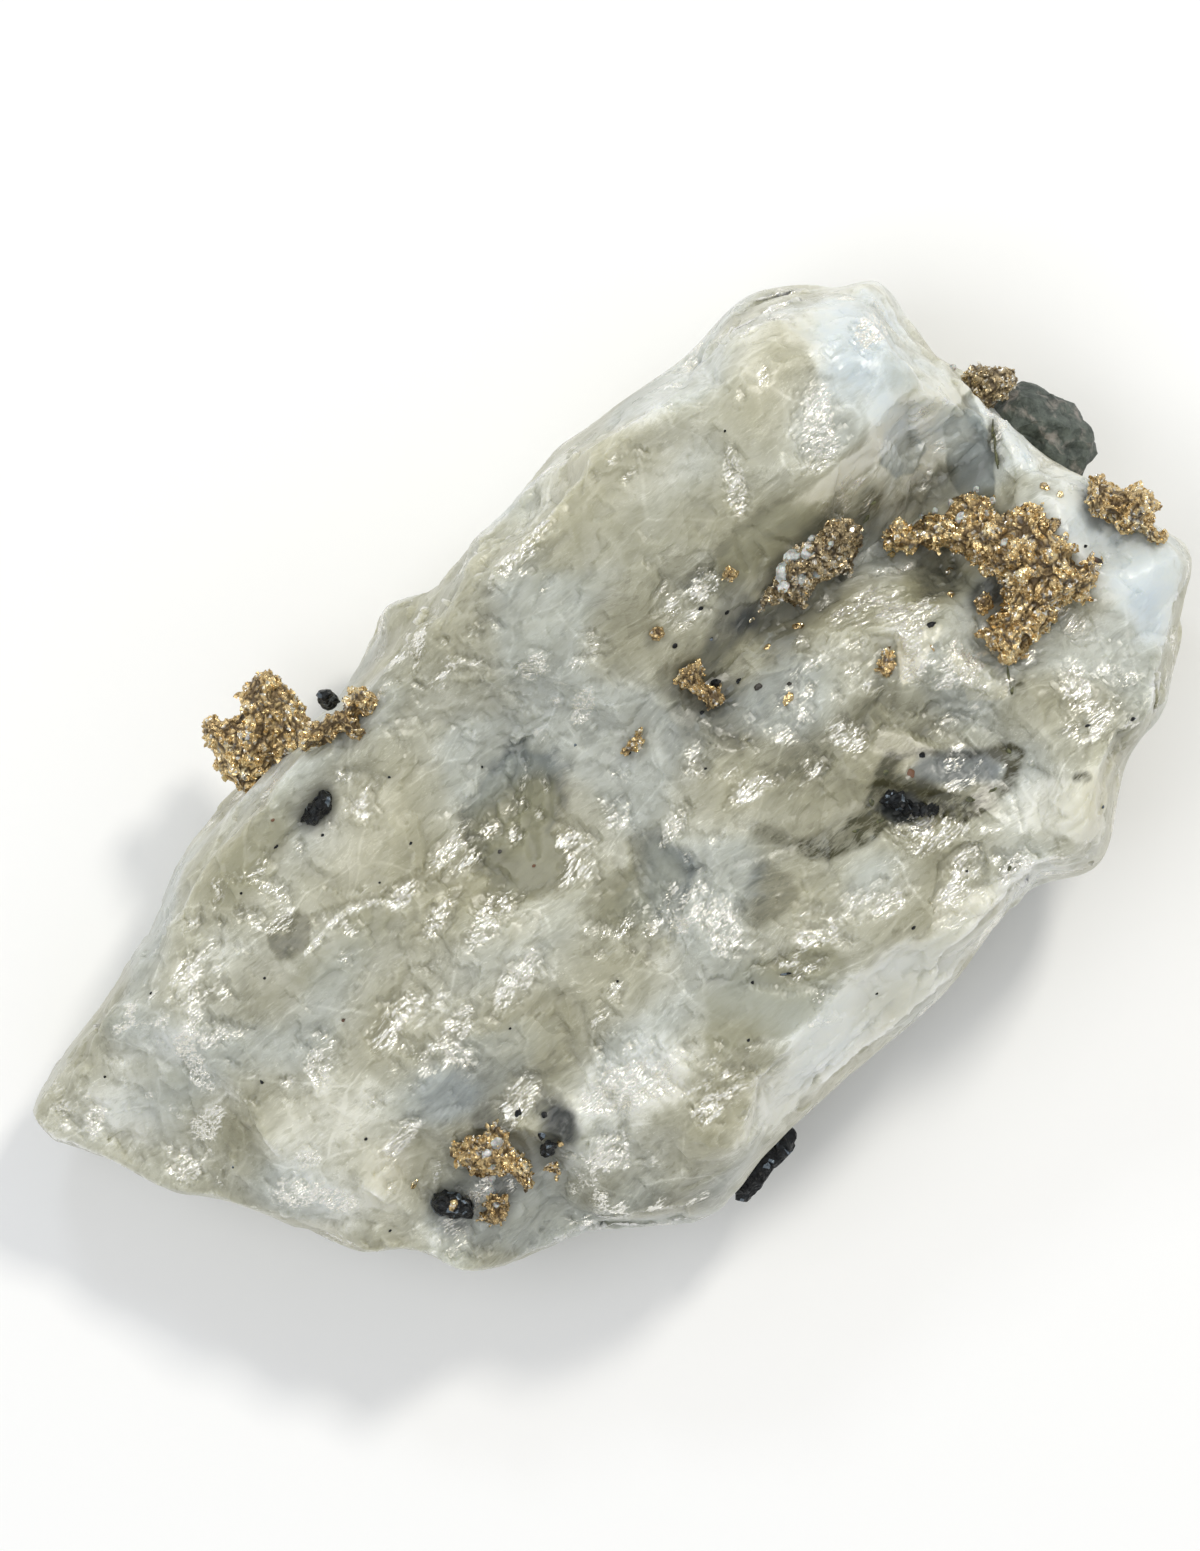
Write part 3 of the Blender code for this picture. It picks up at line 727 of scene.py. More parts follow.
@dataclass(frozen=True)
class Chips:
    """Flat breaks of one size: how many, how wide, how deep, how much they tilt and what they cut at most."""

    count: int
    radius: tuple[float, float]
    depth: tuple[float, float]
    tilt: float
    stretch: float = 1.0
    deepest_cut: float = 0.30


@dataclass(frozen=True)
class Scatter:
    """Stretched noise all over the block: its features to the millimetre, its shift and its strength."""

    scale: Triple
    shift: Triple
    strength: float

    def over(self, points: np.ndarray) -> np.ndarray:
        """The noise at each point."""
        return self.strength * noise_over(points * self.scale + self.shift)


@dataclass(frozen=True)
class Drift:
    """What a slow noise adds to a mask: its gain times the noise, plus the start, from 0 to the most."""

    mask: Mask
    gain: float
    start: float
    most: float


@dataclass(frozen=True)
class RimShift:
    """A move of the rim near a place: how far in x and y, and how wide the moved stretch is."""

    x: float
    y: float
    move_x: float
    move_y: float
    radius: float


@dataclass(frozen=True)
class RimLift:
    """A stretch of the rim that stands higher, so that the top runs out nearly flat to a brisk edge."""

    x: float
    y: float
    radius: float
    height: float


RIM_LIFTS = (
    RimLift(-40.0, 8.0, 9.0, 1.0), RimLift(-33.0, -3.0, 9.0, 1.8), RimLift(-26.0, -12.0, 9.0, 1.8),
    RimLift(-17.0, -18.5, 9.0, 1.8), RimLift(6.0, -20.5, 8.0, 1.6), RimLift(17.0, -19.5, 8.0, 1.6),
    RimLift(29.0, -16.5, 9.0, 1.8), RimLift(38.5, -8.0, 7.5, 0.7), RimLift(-29.0, 14.0, 8.5, 1.8),
    RimLift(4.0, 19.5, 9.0, 1.6), RimLift(16.0, 21.5, 9.0, 1.8), RimLift(28.0, 20.5, 8.0, 1.6),
)  # fmt: skip

RIM_SHIFTS = (
    RimShift(34.4, 16.7, 0.75, 0.55, 3.0), RimShift(-2.2, 20.6, -0.30, 1.10, 3.2),
    RimShift(4.2, 19.2, -0.05, 0.60, 4.5), RimShift(-23.5, -15.1, -0.45, -0.65, 6.0),
    RimShift(-28.5, -9.8, -0.25, -0.35, 4.0), RimShift(-39.0, 9.2, -0.70, -0.15, 3.2),
    RimShift(-34.9, 0.6, -0.35, -0.45, 5.5), RimShift(38.6, -8.6, 0.55, -0.30, 3.4),
    RimShift(32.2, -14.8, 0.40, -0.80, 4.5), RimShift(22.0, 21.3, 0.05, -0.55, 6.0),
    RimShift(26.9, -16.9, -0.25, 0.65, 4.5), RimShift(18.6, -18.6, 0.00, 0.65, 4.5),
    RimShift(3.0, -20.9, 0.05, 0.50, 8.0), RimShift(-26.8, 14.6, 0.10, -0.45, 6.0),
    RimShift(34.9, 6.2, 0.90, 0.15, 5.2),
)  # fmt: skip

# The thin curved pale streak, in short stretches that are both milky and hackly.
PALE_STREAK = (
    (-18.6, 7.05, 1.0, 0.17, 10.0), (-16.8, 7.3, 1.0, 0.17, 3.0), (-15.2, 7.05, 0.9, 0.15, -20.0),
    (-14.1, 6.55, 0.8, 0.13, -28.0),
)

ZONES = {
    Mask.HACKLE: zones(
        (25.5, 12.2, 3.6, 1.3, 54.0), (32.0, 15.0, 1.9, 1.2, 30.0), (29.0, 20.0, 1.6, 0.8, 0.0),
        (2.5, 11.7, 1.6, 1.0, 20.0), (19.5, 13.0, 2.4, 0.6, 60.0), (14.0, 9.0, 1.4, 0.8, 10.0),
        (3.5, 8.0, 1.5, 0.7, 30.0), (22.7, -0.8, 1.9, 0.9, 10.0), (15.0, -3.8, 1.9, 1.0, -70.0),
        (3.2, -1.3, 1.6, 0.8, 20.0), (8.0, -2.5, 1.7, 0.8, 0.0), (1.5, -8.0, 2.6, 1.4, 60.0),
        (28.0, -10.3, 1.6, 1.2, 60.0), (27.5, -13.0, 1.7, 0.7, 20.0), (10.5, -13.5, 1.5, 0.8, 0.0),
        (14.3, -15.8, 1.4, 0.7, 0.0), (19.3, -9.0, 1.2, 0.7, 20.0), (-12.5, 5.9, 1.4, 0.6, 4.0, 0.9),
        (-9.0, 6.2, 2.4, 0.7, 14.0), (-29.4, 6.0, 2.2, 0.9, 82.0), (-36.6, 7.0, 1.4, 0.8, 30.0),
        (-31.0, 2.5, 1.6, 1.0, 10.0), (-34.0, 1.3, 1.4, 0.8, -50.0), (-23.0, 1.2, 2.0, 1.2, 30.0),
        (-18.5, 0.0, 1.9, 1.1, 20.0), (-9.5, 1.3, 2.4, 1.1, 10.0), (-11.5, 3.5, 2.2, 0.8, 20.0),
        (-15.0, -2.7, 1.8, 0.8, 10.0), (-10.5, -2.8, 3.0, 1.0, 18.0), (-29.5, -4.5, 1.9, 1.2, -40.0),
        (-27.5, -6.5, 1.6, 0.9, -40.0), (-22.0, -5.8, 1.6, 0.8, 10.0), (-15.0, -8.5, 2.0, 1.2, 30.0),
        (-9.2, -12.2, 3.4, 1.7, -14.0, 1.1), (-12.8, -14.5, 1.9, 1.5, 0.0), (-6.0, -16.3, 1.6, 0.9, 0.0),
        *((*row, 1.2, 0.3) for row in PALE_STREAK), (21.8, -1.7, 1.5, 0.7, 40.0, 0.9, 0.3),
    ),
    # Painted light and shade among the milk zones: the pale zones on the trench's far wall at (30.5, 8.0) and
    # (33.5, 5.5) and along the lower bevel at (8.0, -18.2) brighten slopes that turn from the lamps, and the
    # dark zone at (18.0, 8.9) paints the shade under the slab's edge.
    Mask.MILK_AND_PAINTED_LIGHT: zones(
        (30.5, 8.0, 4.2, 3.2, 0.0, 0.6), (9.5, -4.6, 4.0, 1.6, -30.0, 0.22),
        *((*row, 0.9, 0.3) for row in PALE_STREAK), (20.0, 18.0, 14.0, 4.5, 0.0, 0.22),
        (31.5, 13.0, 5.0, 7.0, 0.0, 0.35), (35.5, -5.0, 4.0, 9.0, 0.0, 0.45),
        (30.5, -9.5, 7.0, 4.5, -30.0, -0.12), (8.0, -18.2, 16.0, 2.8, 2.0, 0.55),
        (-26.0, -4.0, 6.0, 6.0, -40.0, 0.38), (-13.0, 11.0, 12.0, 3.0, 10.0, 0.12),
        (-37.0, 6.0, 5.0, 4.0, -40.0, 0.2), (-30.0, 9.0, 8.0, 3.0, 20.0, 0.14),
        (-9.0, -12.0, 5.0, 3.0, -10.0, 0.3), (25.8, 8.9, 9.0, 0.7, -4.0, 0.5, 0.5),
        (24.0, -16.0, 6.0, 3.0, -28.0, 0.35), (18.0, 8.9, 6.0, 1.6, 0.0, -0.45),
        (33.5, 5.5, 4.2, 3.8, 0.0, 0.34), (33.0, -9.0, 5.0, 5.0, -40.0, 0.1),
        (-19.5, 8.3, 1.5, 1.1, 10.0, -0.4, 0.2), (-4.0, 5.2, 4.6, 3.2, 20.0, -0.86),
        (-5.2, 2.4, 3.4, 2.2, 0.0, -0.7), (-0.8, -3.4, 4.4, 2.8, 20.0, -0.66),
        (-15.5, -5.4, 6.6, 2.8, -6.0, -0.16), (-16.5, -17.0, 11.0, 3.2, -26.0, -0.2),
        (12.0, 3.0, 6.0, 4.0, 0.0, -0.3), (15.0, -5.0, 8.0, 3.4, -14.0, -0.22),
        (5.0, -8.5, 2.2, 1.8, 0.0, -0.35, 0.35), (-31.0, 5.0, 5.0, 4.5, 20.0, 0.2),
        (0.8, -13.2, 4.6, 2.5, -8.0, -0.14),
    ),
    Mask.TAN: zones(
        (25.2, 0.2, 3.2, 2.0, -39.0, 0.9), (-17.5, 5.6, 4.0, 1.6, 8.0, 0.65),
        (-18.5, 13.5, 4.2, 1.7, 16.0, 0.6), (-32.0, 5.4, 2.8, 3.0, 0.0, 0.58),
        (-5.0, 2.5, 3.4, 2.4, 0.0, 0.6), (-4.0, 5.5, 3.4, 2.6, 10.0, 0.7),
        (-1.5, -3.2, 3.6, 2.4, 20.0, 0.85), (0.8, -13.2, 4.6, 2.5, -8.0, 1.05, 0.35),
        # The tan zone at (18.0, 8.6) is painted shade under the slab's edge, with the milk and smoke zones
        # there.
        (18.0, 8.6, 5.0, 1.5, 0.0, 0.8, 0.5), (22.5, -1.6, 2.2, 1.2, 10.0, 0.6, 0.4),
        (15.0, 15.5, 11.0, 4.5, 10.0, 0.45), (4.0, 13.5, 4.0, 2.2, 30.0, 0.4),
    ),
    Mask.WARM: zones(
        (25.3, 0.2, 3.0, 1.6, -39.0, 1.5),
    ),
    # Cool zones are partly painted light: on the right end, the lower bevel and the far trench wall the
    # blue-grey tint stands in for the cool side light, near the foot at (-15.5, -5.4) it is painted shade,
    # and at (18.9, -9.6) it is the quartz's own grey-blue.
    Mask.COOL_AND_PAINTED_LIGHT: zones(
        (18.9, -9.6, 2.9, 1.3, -36.0, 0.55, 0.5), (31.5, 13.5, 4.5, 6.5, 0.0, 0.75, 0.9),
        (36.0, -6.0, 4.0, 9.0, 0.0, 0.75, 0.9), (33.0, 5.0, 4.5, 3.5, 0.0, 0.45),
        (-15.5, -5.4, 5.0, 2.6, -6.0, 0.22), (9.0, -18.0, 8.0, 2.0, 0.0, 0.22),
    ),
    Mask.OLIVE: zones(
        (25.3, 0.2, 2.6, 1.2, -39.0, 0.55), (11.0, -8.2, 3.6, 1.3, -10.0, 0.42),
        (13.8, -8.6, 1.6, 1.1, 0.0, 1.0, 0.6), (17.3, -11.0, 2.3, 1.0, -42.0, 1.0, 0.6),
        (25.0, 6.4, 1.6, 1.0, 0.0, 0.75), (33.6, 4.6, 1.8, 0.62, 56.0, 0.8),
        (25.0, -7.5, 0.9, 0.3, -58.0, 0.9), (17.6, -16.4, 1.3, 0.6, 10.0, 0.5),
        (3.3, 17.2, 0.7, 0.4, 0.0, 0.5), (26.5, -12.2, 2.4, 0.25, -18.0, 0.5),
        (-6.6, 3.2, 1.3, 1.0, 30.0, 0.4), (-10.4, 5.0, 1.2, 0.8, 0.0, 0.25),
        (-17.3, -8.4, 1.7, 1.2, 10.0, 0.7),
    ),
    # Smoke zones are partly the quartz's own dark grey and partly painted shade: round the foot's metal and
    # black grains, on the trench wall below the slab's edge at (19.5, 5.6) and in the hollows beside the main
    # metal mass.
    Mask.SMOKE: zones(
        (14.6, -9.3, 1.6, 1.1, -30.0, 1.1, 0.6), (18.9, -9.6, 3.0, 1.5, -36.0, 0.62, 0.5),
        (25.8, 0.6, 1.8, 1.6, -30.0, 0.55), (27.0, -2.4, 1.7, 1.1, 0.0, 0.85),
        (19.5, 5.6, 6.5, 2.8, 4.0, 0.58), (29.5, 4.6, 3.6, 1.2, -8.0, 0.5),
        (-18.5, -10.4, 2.8, 3.1, 20.0, 0.6), (-14.2, -11.3, 2.3, 1.5, 75.0, 0.95),
        (-16.5, -6.5, 5.0, 2.2, -10.0, 0.16), (-22.4, -11.2, 1.8, 1.9, 0.0, 0.4),
        (-13.4, 13.4, 2.1, 1.3, 20.0, 0.55), (10.0, 4.2, 2.0, 2.4, 0.0, 0.35),
        (36.2, -2.6, 1.2, 2.2, 10.0, 0.45), (14.2, 6.4, 3.0, 1.6, 30.0, 0.5),
        (8.0, 2.0, 4.0, 1.6, 20.0, 0.18),
    ),
}  # fmt: skip

ROUND_GREY = ((29.9, 9.2), (28.6, 9.2), (27.2, 7.9), (27.5, 6.7), (28.8, 6.1), (30.2, 6.8), (30.4, 8.3))
TALL_GREY = ((34.9, 8.3), (31.6, 7.3), (30.2, 4.8), (29.9, 3.5), (31.1, 1.7), (33.1, 4.2))
BETWEEN_GREYS = ((33.4, 8.9), (30.1, 9.2), (30.4, 8.3), (30.2, 6.8), (31.0, 6.8), (31.9, 7.5))
UNDER_GREYS = ((33.8, 2.2), (32.4, 2.8), (31.8, 1.2), (33.0, 0.0), (35.0, -0.4), (35.7, 1.4))
CREAM_BREAK = ((19.2, -4.2), (20.8, -3.5), (23.3, -3.5), (24.3, -2.8), (22.7, -0.5), (21.0, -1.1))
TAN_BREAK = ((25.2, -7.3), (24.7, -6.1), (23.3, -3.5), (22.1, -6.8), (23.9, -8.0))
PATCHES = {
    Mask.HACKLE: (Patch(TALL_GREY, -1.5), Patch(ROUND_GREY, -1.5)),
    Mask.MILK_AND_PAINTED_LIGHT: (
        Patch(ROUND_GREY, -0.66),
        Patch(TALL_GREY, -1.0),
        Patch(BETWEEN_GREYS, -0.16),
        Patch(UNDER_GREYS, -0.2),
        Patch(CREAM_BREAK, 0.5),
        Patch(TAN_BREAK, 0.2),
    ),
    Mask.TAN: (Patch(TAN_BREAK, 0.25),),
    Mask.WARM: (Patch(CREAM_BREAK, 1.6), Patch(TAN_BREAK, 1.8)),
    Mask.COOL_AND_PAINTED_LIGHT: (Patch(ROUND_GREY, 0.35),),
}

DARK_VEINS = (
    Vein(((7.1, -4.8), (7.9, -6.4), (8.9, -7.7), (9.9, -8.5)), 0.4, 0.8),
    Vein(((8.9, -7.7), (9.9, -8.5), (11.3, -8.8), (12.9, -8.7)), 0.58, 1.1),
    Vein(((12.3, -8.8), (14.2, -8.6), (15.3, -8.4)), 0.8, 1.6),
    Vein(((16.2, -6.5), (15.1, -7.0), (14.1, -7.8), (13.2, -8.7)), 0.45, 1.3),
    Vein(((16.4, -9.3), (16.9, -10.7), (17.8, -11.6), (19.2, -12.1)), 0.7, 1.4),
    Vein(((19.2, -12.1), (20.8, -12.3), (21.9, -11.6), (22.3, -10.8)), 0.32, 1.3),
    Vein(((16.0, -6.6), (17.8, -7.2), (19.5, -8.9), (21.3, -10.1), (22.1, -11.1)), 0.2, 0.8),
    Vein(((21.6, -10.5), (22.3, -11.4)), 0.45, 1.4),
    Vein(((24.3, -14.6), (24.8, -14.9)), 0.28, 1.2),
)


@dataclass
class QuartzBlock:
    """The block of vein quartz, which stands for its CAD node, with broken faces at every scale.

    Widths and sizes are in millimetres. Hackly breaks face along lean, where the surface already looks nearly
    that way (leaning) and the hackly mask is strong enough (hackly_from). The outline is where normals are
    nearly level (upright), and the rim's lift fades out rolled_width further in. Within held_width of a
    growth the top is neither evened out nor lifted.
    """

    node: str = "quartz_matrix"
    name: str = "quartz_block"
    coarse_size: float = 0.42
    seed: int = 5
    low_limit: float = 0.5
    softening_rounds: int = 260
    unfolding_rounds: int = 6
    base_milk: float = 0.545
    vein_dullness: float = 1.1
    cloud_sizes: tuple[tuple[float, float], ...] = ((9.0, 0.14), (3.2, 0.14))
    wobbles: tuple[tuple[float, float], ...] = ((0.42, 0.34), (1.3, 0.16))
    hackle_scatter: tuple[Scatter, ...] = (
        Scatter((0.16, 0.30, 0.30), (7.0, 0.0, 0.0), 1.8),
        Scatter((0.70, 1.10, 1.00), (0.0, 3.0, 0.0), 1.5),
    )
    least_scatter: float = 0.50
    warm_size: Triple = (7.5, 5.5, 6.0)
    warm_shift: Triple = (0.0, 0.0, 4.0)
    warm_drifts: tuple[Drift, ...] = (
        Drift(Mask.WARM, 1.5, 0.1, 0.8),
        Drift(Mask.TAN, 0.9, 0.12, 0.45),
        Drift(Mask.COOL_AND_PAINTED_LIGHT, -1.1, -0.12, 0.28),
    )
    side_painted_light: float = 0.20
    highest_mask: float = 1.2
    chips: tuple[Chips, ...] = (
        Chips(520, (2.0, 4.6), (0.02, 0.09), 0.05, 1.5),
        Chips(1100, (0.7, 1.8), (0.00, 0.035), 0.06, 1.8),
    )
    hackly_chips: Chips = Chips(5200, (0.40, 1.0), (0.00, 0.07), 0.085, 1.8)
    side_chips: Chips = Chips(240, (4.0, 8.0), (0.05, 0.40), 0.07, 1.2, 0.9)
    lean: Triple = (0.309, 0.10, 0.946)
    edge: float = 0.16
    rolled_width: float = 4.5
    held_width: float = 1.8
    lift_gain: float = 1.6
    highest_lift: float = 1.8
    edge_power: float = 1.6
    upright: float = 0.12
    leaning: float = 0.72
    hackly_from: float = 0.30
    side_slope: float = 0.6
    side_foot: float = 1.0
    chip_turn: float = 0.4
    top_facing: float = 0.2
    flat_breaks_angle: float = 14.0

    def build(self) -> bpy.types.Object:
        """The finished block, dressed and riding on the frame."""
        piece = node_copy(self.node, self.name)
        remesh(piece, self.coarse_size)
        self.refine_top(piece)
        self.soften_relief(piece)
        self.shift_rim(piece)
        self.lift_rim(piece)
        points = points_of(piece.data)
        normals = normals_of(piece.data)
        masks = self.masks_at(points, normals)
        points = self.chipped(points, normals, masks[Mask.HACKLE])
        place_points(piece.data, points)
        for mask, values in masks.items():
            store_mask(piece.data, mask.value, values)
        select_only(piece)
        bpy.ops.object.shade_smooth_by_angle(angle=math.radians(self.flat_breaks_angle))
        settle(piece, MilkyQuartz().make(), "quartz", self.node)
        return piece

    def refine_top(self, piece: bpy.types.Object) -> None:
        """Halves the mesh size wherever the block faces upwards."""
        select_only(piece)
        bpy.ops.object.mode_set(mode="EDIT")
        bpy.ops.mesh.select_all(action="DESELECT")
        bpy.ops.object.mode_set(mode="OBJECT")
        for face in piece.data.polygons:
            face.select = face.normal.z > self.top_facing
        bpy.ops.object.mode_set(mode="EDIT")
        bpy.ops.mesh.select_mode(type="FACE")
        bpy.ops.mesh.subdivide(number_cuts=1, smoothness=0.0)
        bpy.ops.object.mode_set(mode="OBJECT")

    def soften_relief(self, piece: bpy.types.Object) -> None:
        """Evens out the heights of the top, and leaves the outline alone."""
        points, normals = points_of(piece.data), normals_of(piece.data)
        top = piece.vertex_groups.new(name="top")
        shares = np.clip(normals[:, 2] * 2.0 - 0.6, 0.0, 1.0) * self.clear_of_growths(points)
        for index, steepness in enumerate(shares):
            if steepness > 0.0:
                top.add([index], float(steepness), "REPLACE")
        even = piece.modifiers.new("even", "SMOOTH")
        even.factor = 0.8
        even.iterations = self.softening_rounds
        even.vertex_group = top.name
        even.use_x = even.use_y = False
        unfold = piece.modifiers.new("unfold", "SMOOTH")
        unfold.factor = 0.5
        unfold.iterations = self.unfolding_rounds
        apply_modifiers(piece)
        piece.vertex_groups.clear()

    def shift_rim(self, piece: bpy.types.Object) -> None:
        """Moves stretches of the rim in or out."""
        points = points_of(piece.data)
        moves = np.zeros_like(points)
        for shift in RIM_SHIFTS:
            near = nearness(points, shift.x, shift.y, shift.radius)
            moves += np.outer(near, (shift.move_x, shift.move_y, 0.0))
        place_points(piece.data, points + moves)

    def clear_of_growths(self, points: np.ndarray) -> np.ndarray:
        """0 at places under or close to a growth, and 1 at places well away from all of them."""
        nodes = [growth.node for growth in METAL_GROWTHS + BLACK_GRAINS + (WALLROCK,)]
        held = np.vstack([points_of(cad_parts[node].data) for node in nodes])
        finder = KDTree(len(held))
        for index, (x, y, _) in enumerate(held):
            finder.insert((x, y, 0.0), index)
        finder.balance()
        gaps = np.array([finder.find((x, y, 0.0))[2] for x, y, _ in points])
        return np.clip((gaps - self.held_width) / self.held_width, 0.0, 1.0)

    def lift_rim(self, piece: bpy.types.Object) -> None:
        """Raises stretches of the rim, most at the outline and not at all further in than the edge's roll."""
        points, normals = points_of(piece.data), normals_of(piece.data)
        outline = KDTree(len(points))
        for index in np.flatnonzero(np.abs(normals[:, 2]) < self.upright):
            outline.insert((points[index, 0], points[index, 1], 0.0), int(index))
        outline.balance()
        gaps = np.array([outline.find((x, y, 0.0))[2] for x, y, _ in points])
        near_edge = np.clip(1.0 - gaps / self.rolled_width, 0.0, 1.0) ** self.edge_power
        upness = np.clip((normals[:, 2] + 0.15) / 0.45, 0.0, 1.0)
        rise = np.zeros(len(points))
        for lift in RIM_LIFTS:
            near = nearness(points, lift.x, lift.y, lift.radius)
            rise = np.maximum(rise, lift.height * near * self.lift_gain)
        rise = np.minimum(rise, self.highest_lift) * near_edge * upness * upness
        points[:, 2] += rise * self.clear_of_growths(points)
        place_points(piece.data, points)

    def masks_at(self, points: np.ndarray, normals: np.ndarray) -> dict[Mask, np.ndarray]:
        """Each mask's value at each point.

        Args:
            points: the block's points, in millimetres.
            normals: their normals.

        Returns:
            The values by mask.
        """
        wobble = sum(share * noise_over(points * scale) for scale, share in self.wobbles)
        upness, dull = np.clip(normals[:, 2] * 2.2, 0.0, 1.0), np.zeros(len(points))
        masks = {mask: np.zeros(len(points)) for mask in Mask}
        for mask, shapes in (*ZONES.items(), *PATCHES.items()):
            for shape in shapes:
                masks[mask] += upness * shape.strength * shape.share(points, wobble)
        for vein in DARK_VEINS:
            share = upness * vein.share(points, wobble)
            masks[Mask.OLIVE] += vein.strength * share
            dull = np.maximum(dull, share)
        masks[Mask.MILK_AND_PAINTED_LIGHT] += self.base_milk
        for size, share in self.cloud_sizes:
            masks[Mask.MILK_AND_PAINTED_LIGHT] += share * noise_over(points / size)
        scattered = sum(scatter.over(points) for scatter in self.hackle_scatter)
        masks[Mask.HACKLE] += np.clip(scattered - self.least_scatter, 0.0, 1.0)
        masks[Mask.HACKLE] -= self.vein_dullness * dull
        warm = noise_over(points / self.warm_size + self.warm_shift)
        for drift in self.warm_drifts:
            masks[drift.mask] += np.clip(warm * drift.gain + drift.start, 0.0, drift.most)
        # Painted light: steep sides and the rim are made paler, so that they stay light where they turn from
        # the lamps.
        masks[Mask.MILK_AND_PAINTED_LIGHT] += self.side_painted_light * np.clip(1.0 - normals[:, 2] * 1.3, 0.0, 1.0)
        for mask in (Mask.HACKLE, Mask.TAN, Mask.OLIVE, Mask.SMOKE, Mask.COOL_AND_PAINTED_LIGHT):
            masks[mask] = np.clip(masks[mask], 0.0, self.highest_mask)
        return masks

    def chipped(self, points: np.ndarray, normals: np.ndarray, hackle: np.ndarray) -> np.ndarray:
        """The points with flat chips broken off.

        Args:
            points: the block's points, in millimetres.
            normals: their normals.
            hackle: the hackly mask.

        Returns:
            The moved points.
        """
        uneven = random.Random(self.seed)
        finder = KDTree(len(points))
        for index, point in enumerate(points):
            finder.insert(point, index)
        finder.balance()
        moved = points.copy()
        for chips, wanted, share in self.chip_rounds(points, normals, hackle):
            among = np.flatnonzero(wanted)
            surface = moved.copy()
            for _ in range(chips.count):
                middle = int(among[uneven.randrange(len(among))])
                facing = self.lean if chips is self.hackly_chips else normals[middle]
                facing = facing + np.array([uneven.gauss(0.0, chips.tilt) for _ in range(3)])
                facing /= np.linalg.norm(facing)
                radius = uneven.uniform(*chips.radius)
                near = [index for _, index, _ in finder.find_range(points[middle], radius)]
                offset = surface[near] - surface[middle]
                bearing = uneven.gauss(0.0, self.chip_turn)
                inside = self.inside_chip(offset, facing, radius, chips.stretch, bearing)
                over = (moved[near] - surface[middle]) @ facing + uneven.uniform(*chips.depth)
                inside *= np.clip(2.0 - 2.0 * over / chips.deepest_cut, 0.0, 1.0) * share[near]
                moved[near] -= (inside * np.maximum(over, 0.0))[:, None] * facing
        return moved

    def chip_rounds(
        self, points: np.ndarray, normals: np.ndarray, hackle: np.ndarray
    ) -> list[tuple[Chips, np.ndarray, np.ndarray]]:
        """The rounds of chips: large ones off the sides, then all over, then the hackly places.

        Args:
            points: the block's points, in millimetres.
            normals: their normals.
            hackle: the hackly mask.

        Returns:
            Each round's chips, where their middles may lie, and how much of the cut each point takes.
        """
        free = points[:, 2] > self.low_limit
        rough = free & (hackle > self.hackly_from) & (normals @ np.array(self.lean) > self.leaning)
        slope = np.abs(normals[:, 2])
        sides = (slope < self.side_slope) & (points[:, 2] > self.low_limit + self.side_foot)
        every = np.ones(len(points))
        off_outline = self.clear_of_growths(points) * (0.15 + 0.85 * np.clip(slope * 3.0, 0.0, 1.0))
        off_outline *= np.clip(1.6 - 3.2 * normals[:, 2], 0.0, 1.0)
        rounds = [(self.side_chips, sides, off_outline)]
        rounds += [(size, free, every) for size in self.chips]
        return [*rounds, (self.hackly_chips, rough, every)]

    def inside_chip(
        self, offset: np.ndarray, facing: np.ndarray, radius: float, stretch: float, bearing: float
    ) -> np.ndarray:
        """How far points are inside a chip's six-sided outline, from 0 to 1.

        Args:
            offset: the points, from the chip's middle.
            facing: the way the chip faces.
            radius: half its length.
            stretch: its length over its width.
            bearing: its turn from the grain, in radians.

        Returns:
            0 outside the outline, 1 inside it, with a narrow step between.
        """
        grain = np.array((math.cos(bearing), math.sin(bearing), 0.0))
        side = np.cross(facing, grain)
        side /= np.linalg.norm(side) + 1e-9
        slant = 0.6 * grain + 0.8 * side
        reach = np.maximum(np.abs(offset @ grain) / radius, np.abs(offset @ side) * stretch / radius)
        reach = np.maximum(reach, np.abs(offset @ slant) * 1.25 / radius)
        return np.clip((1.0 - reach) * radius / self.edge, 0.0, 1.0)


# ---------------------------------------------------------------- the metal and the small minerals


class Habit(Enum):
    """How a growth's surface is broken up."""

    SPONGE = "sponge"
    GRAIN = "grain"
    ROCK = "rock"


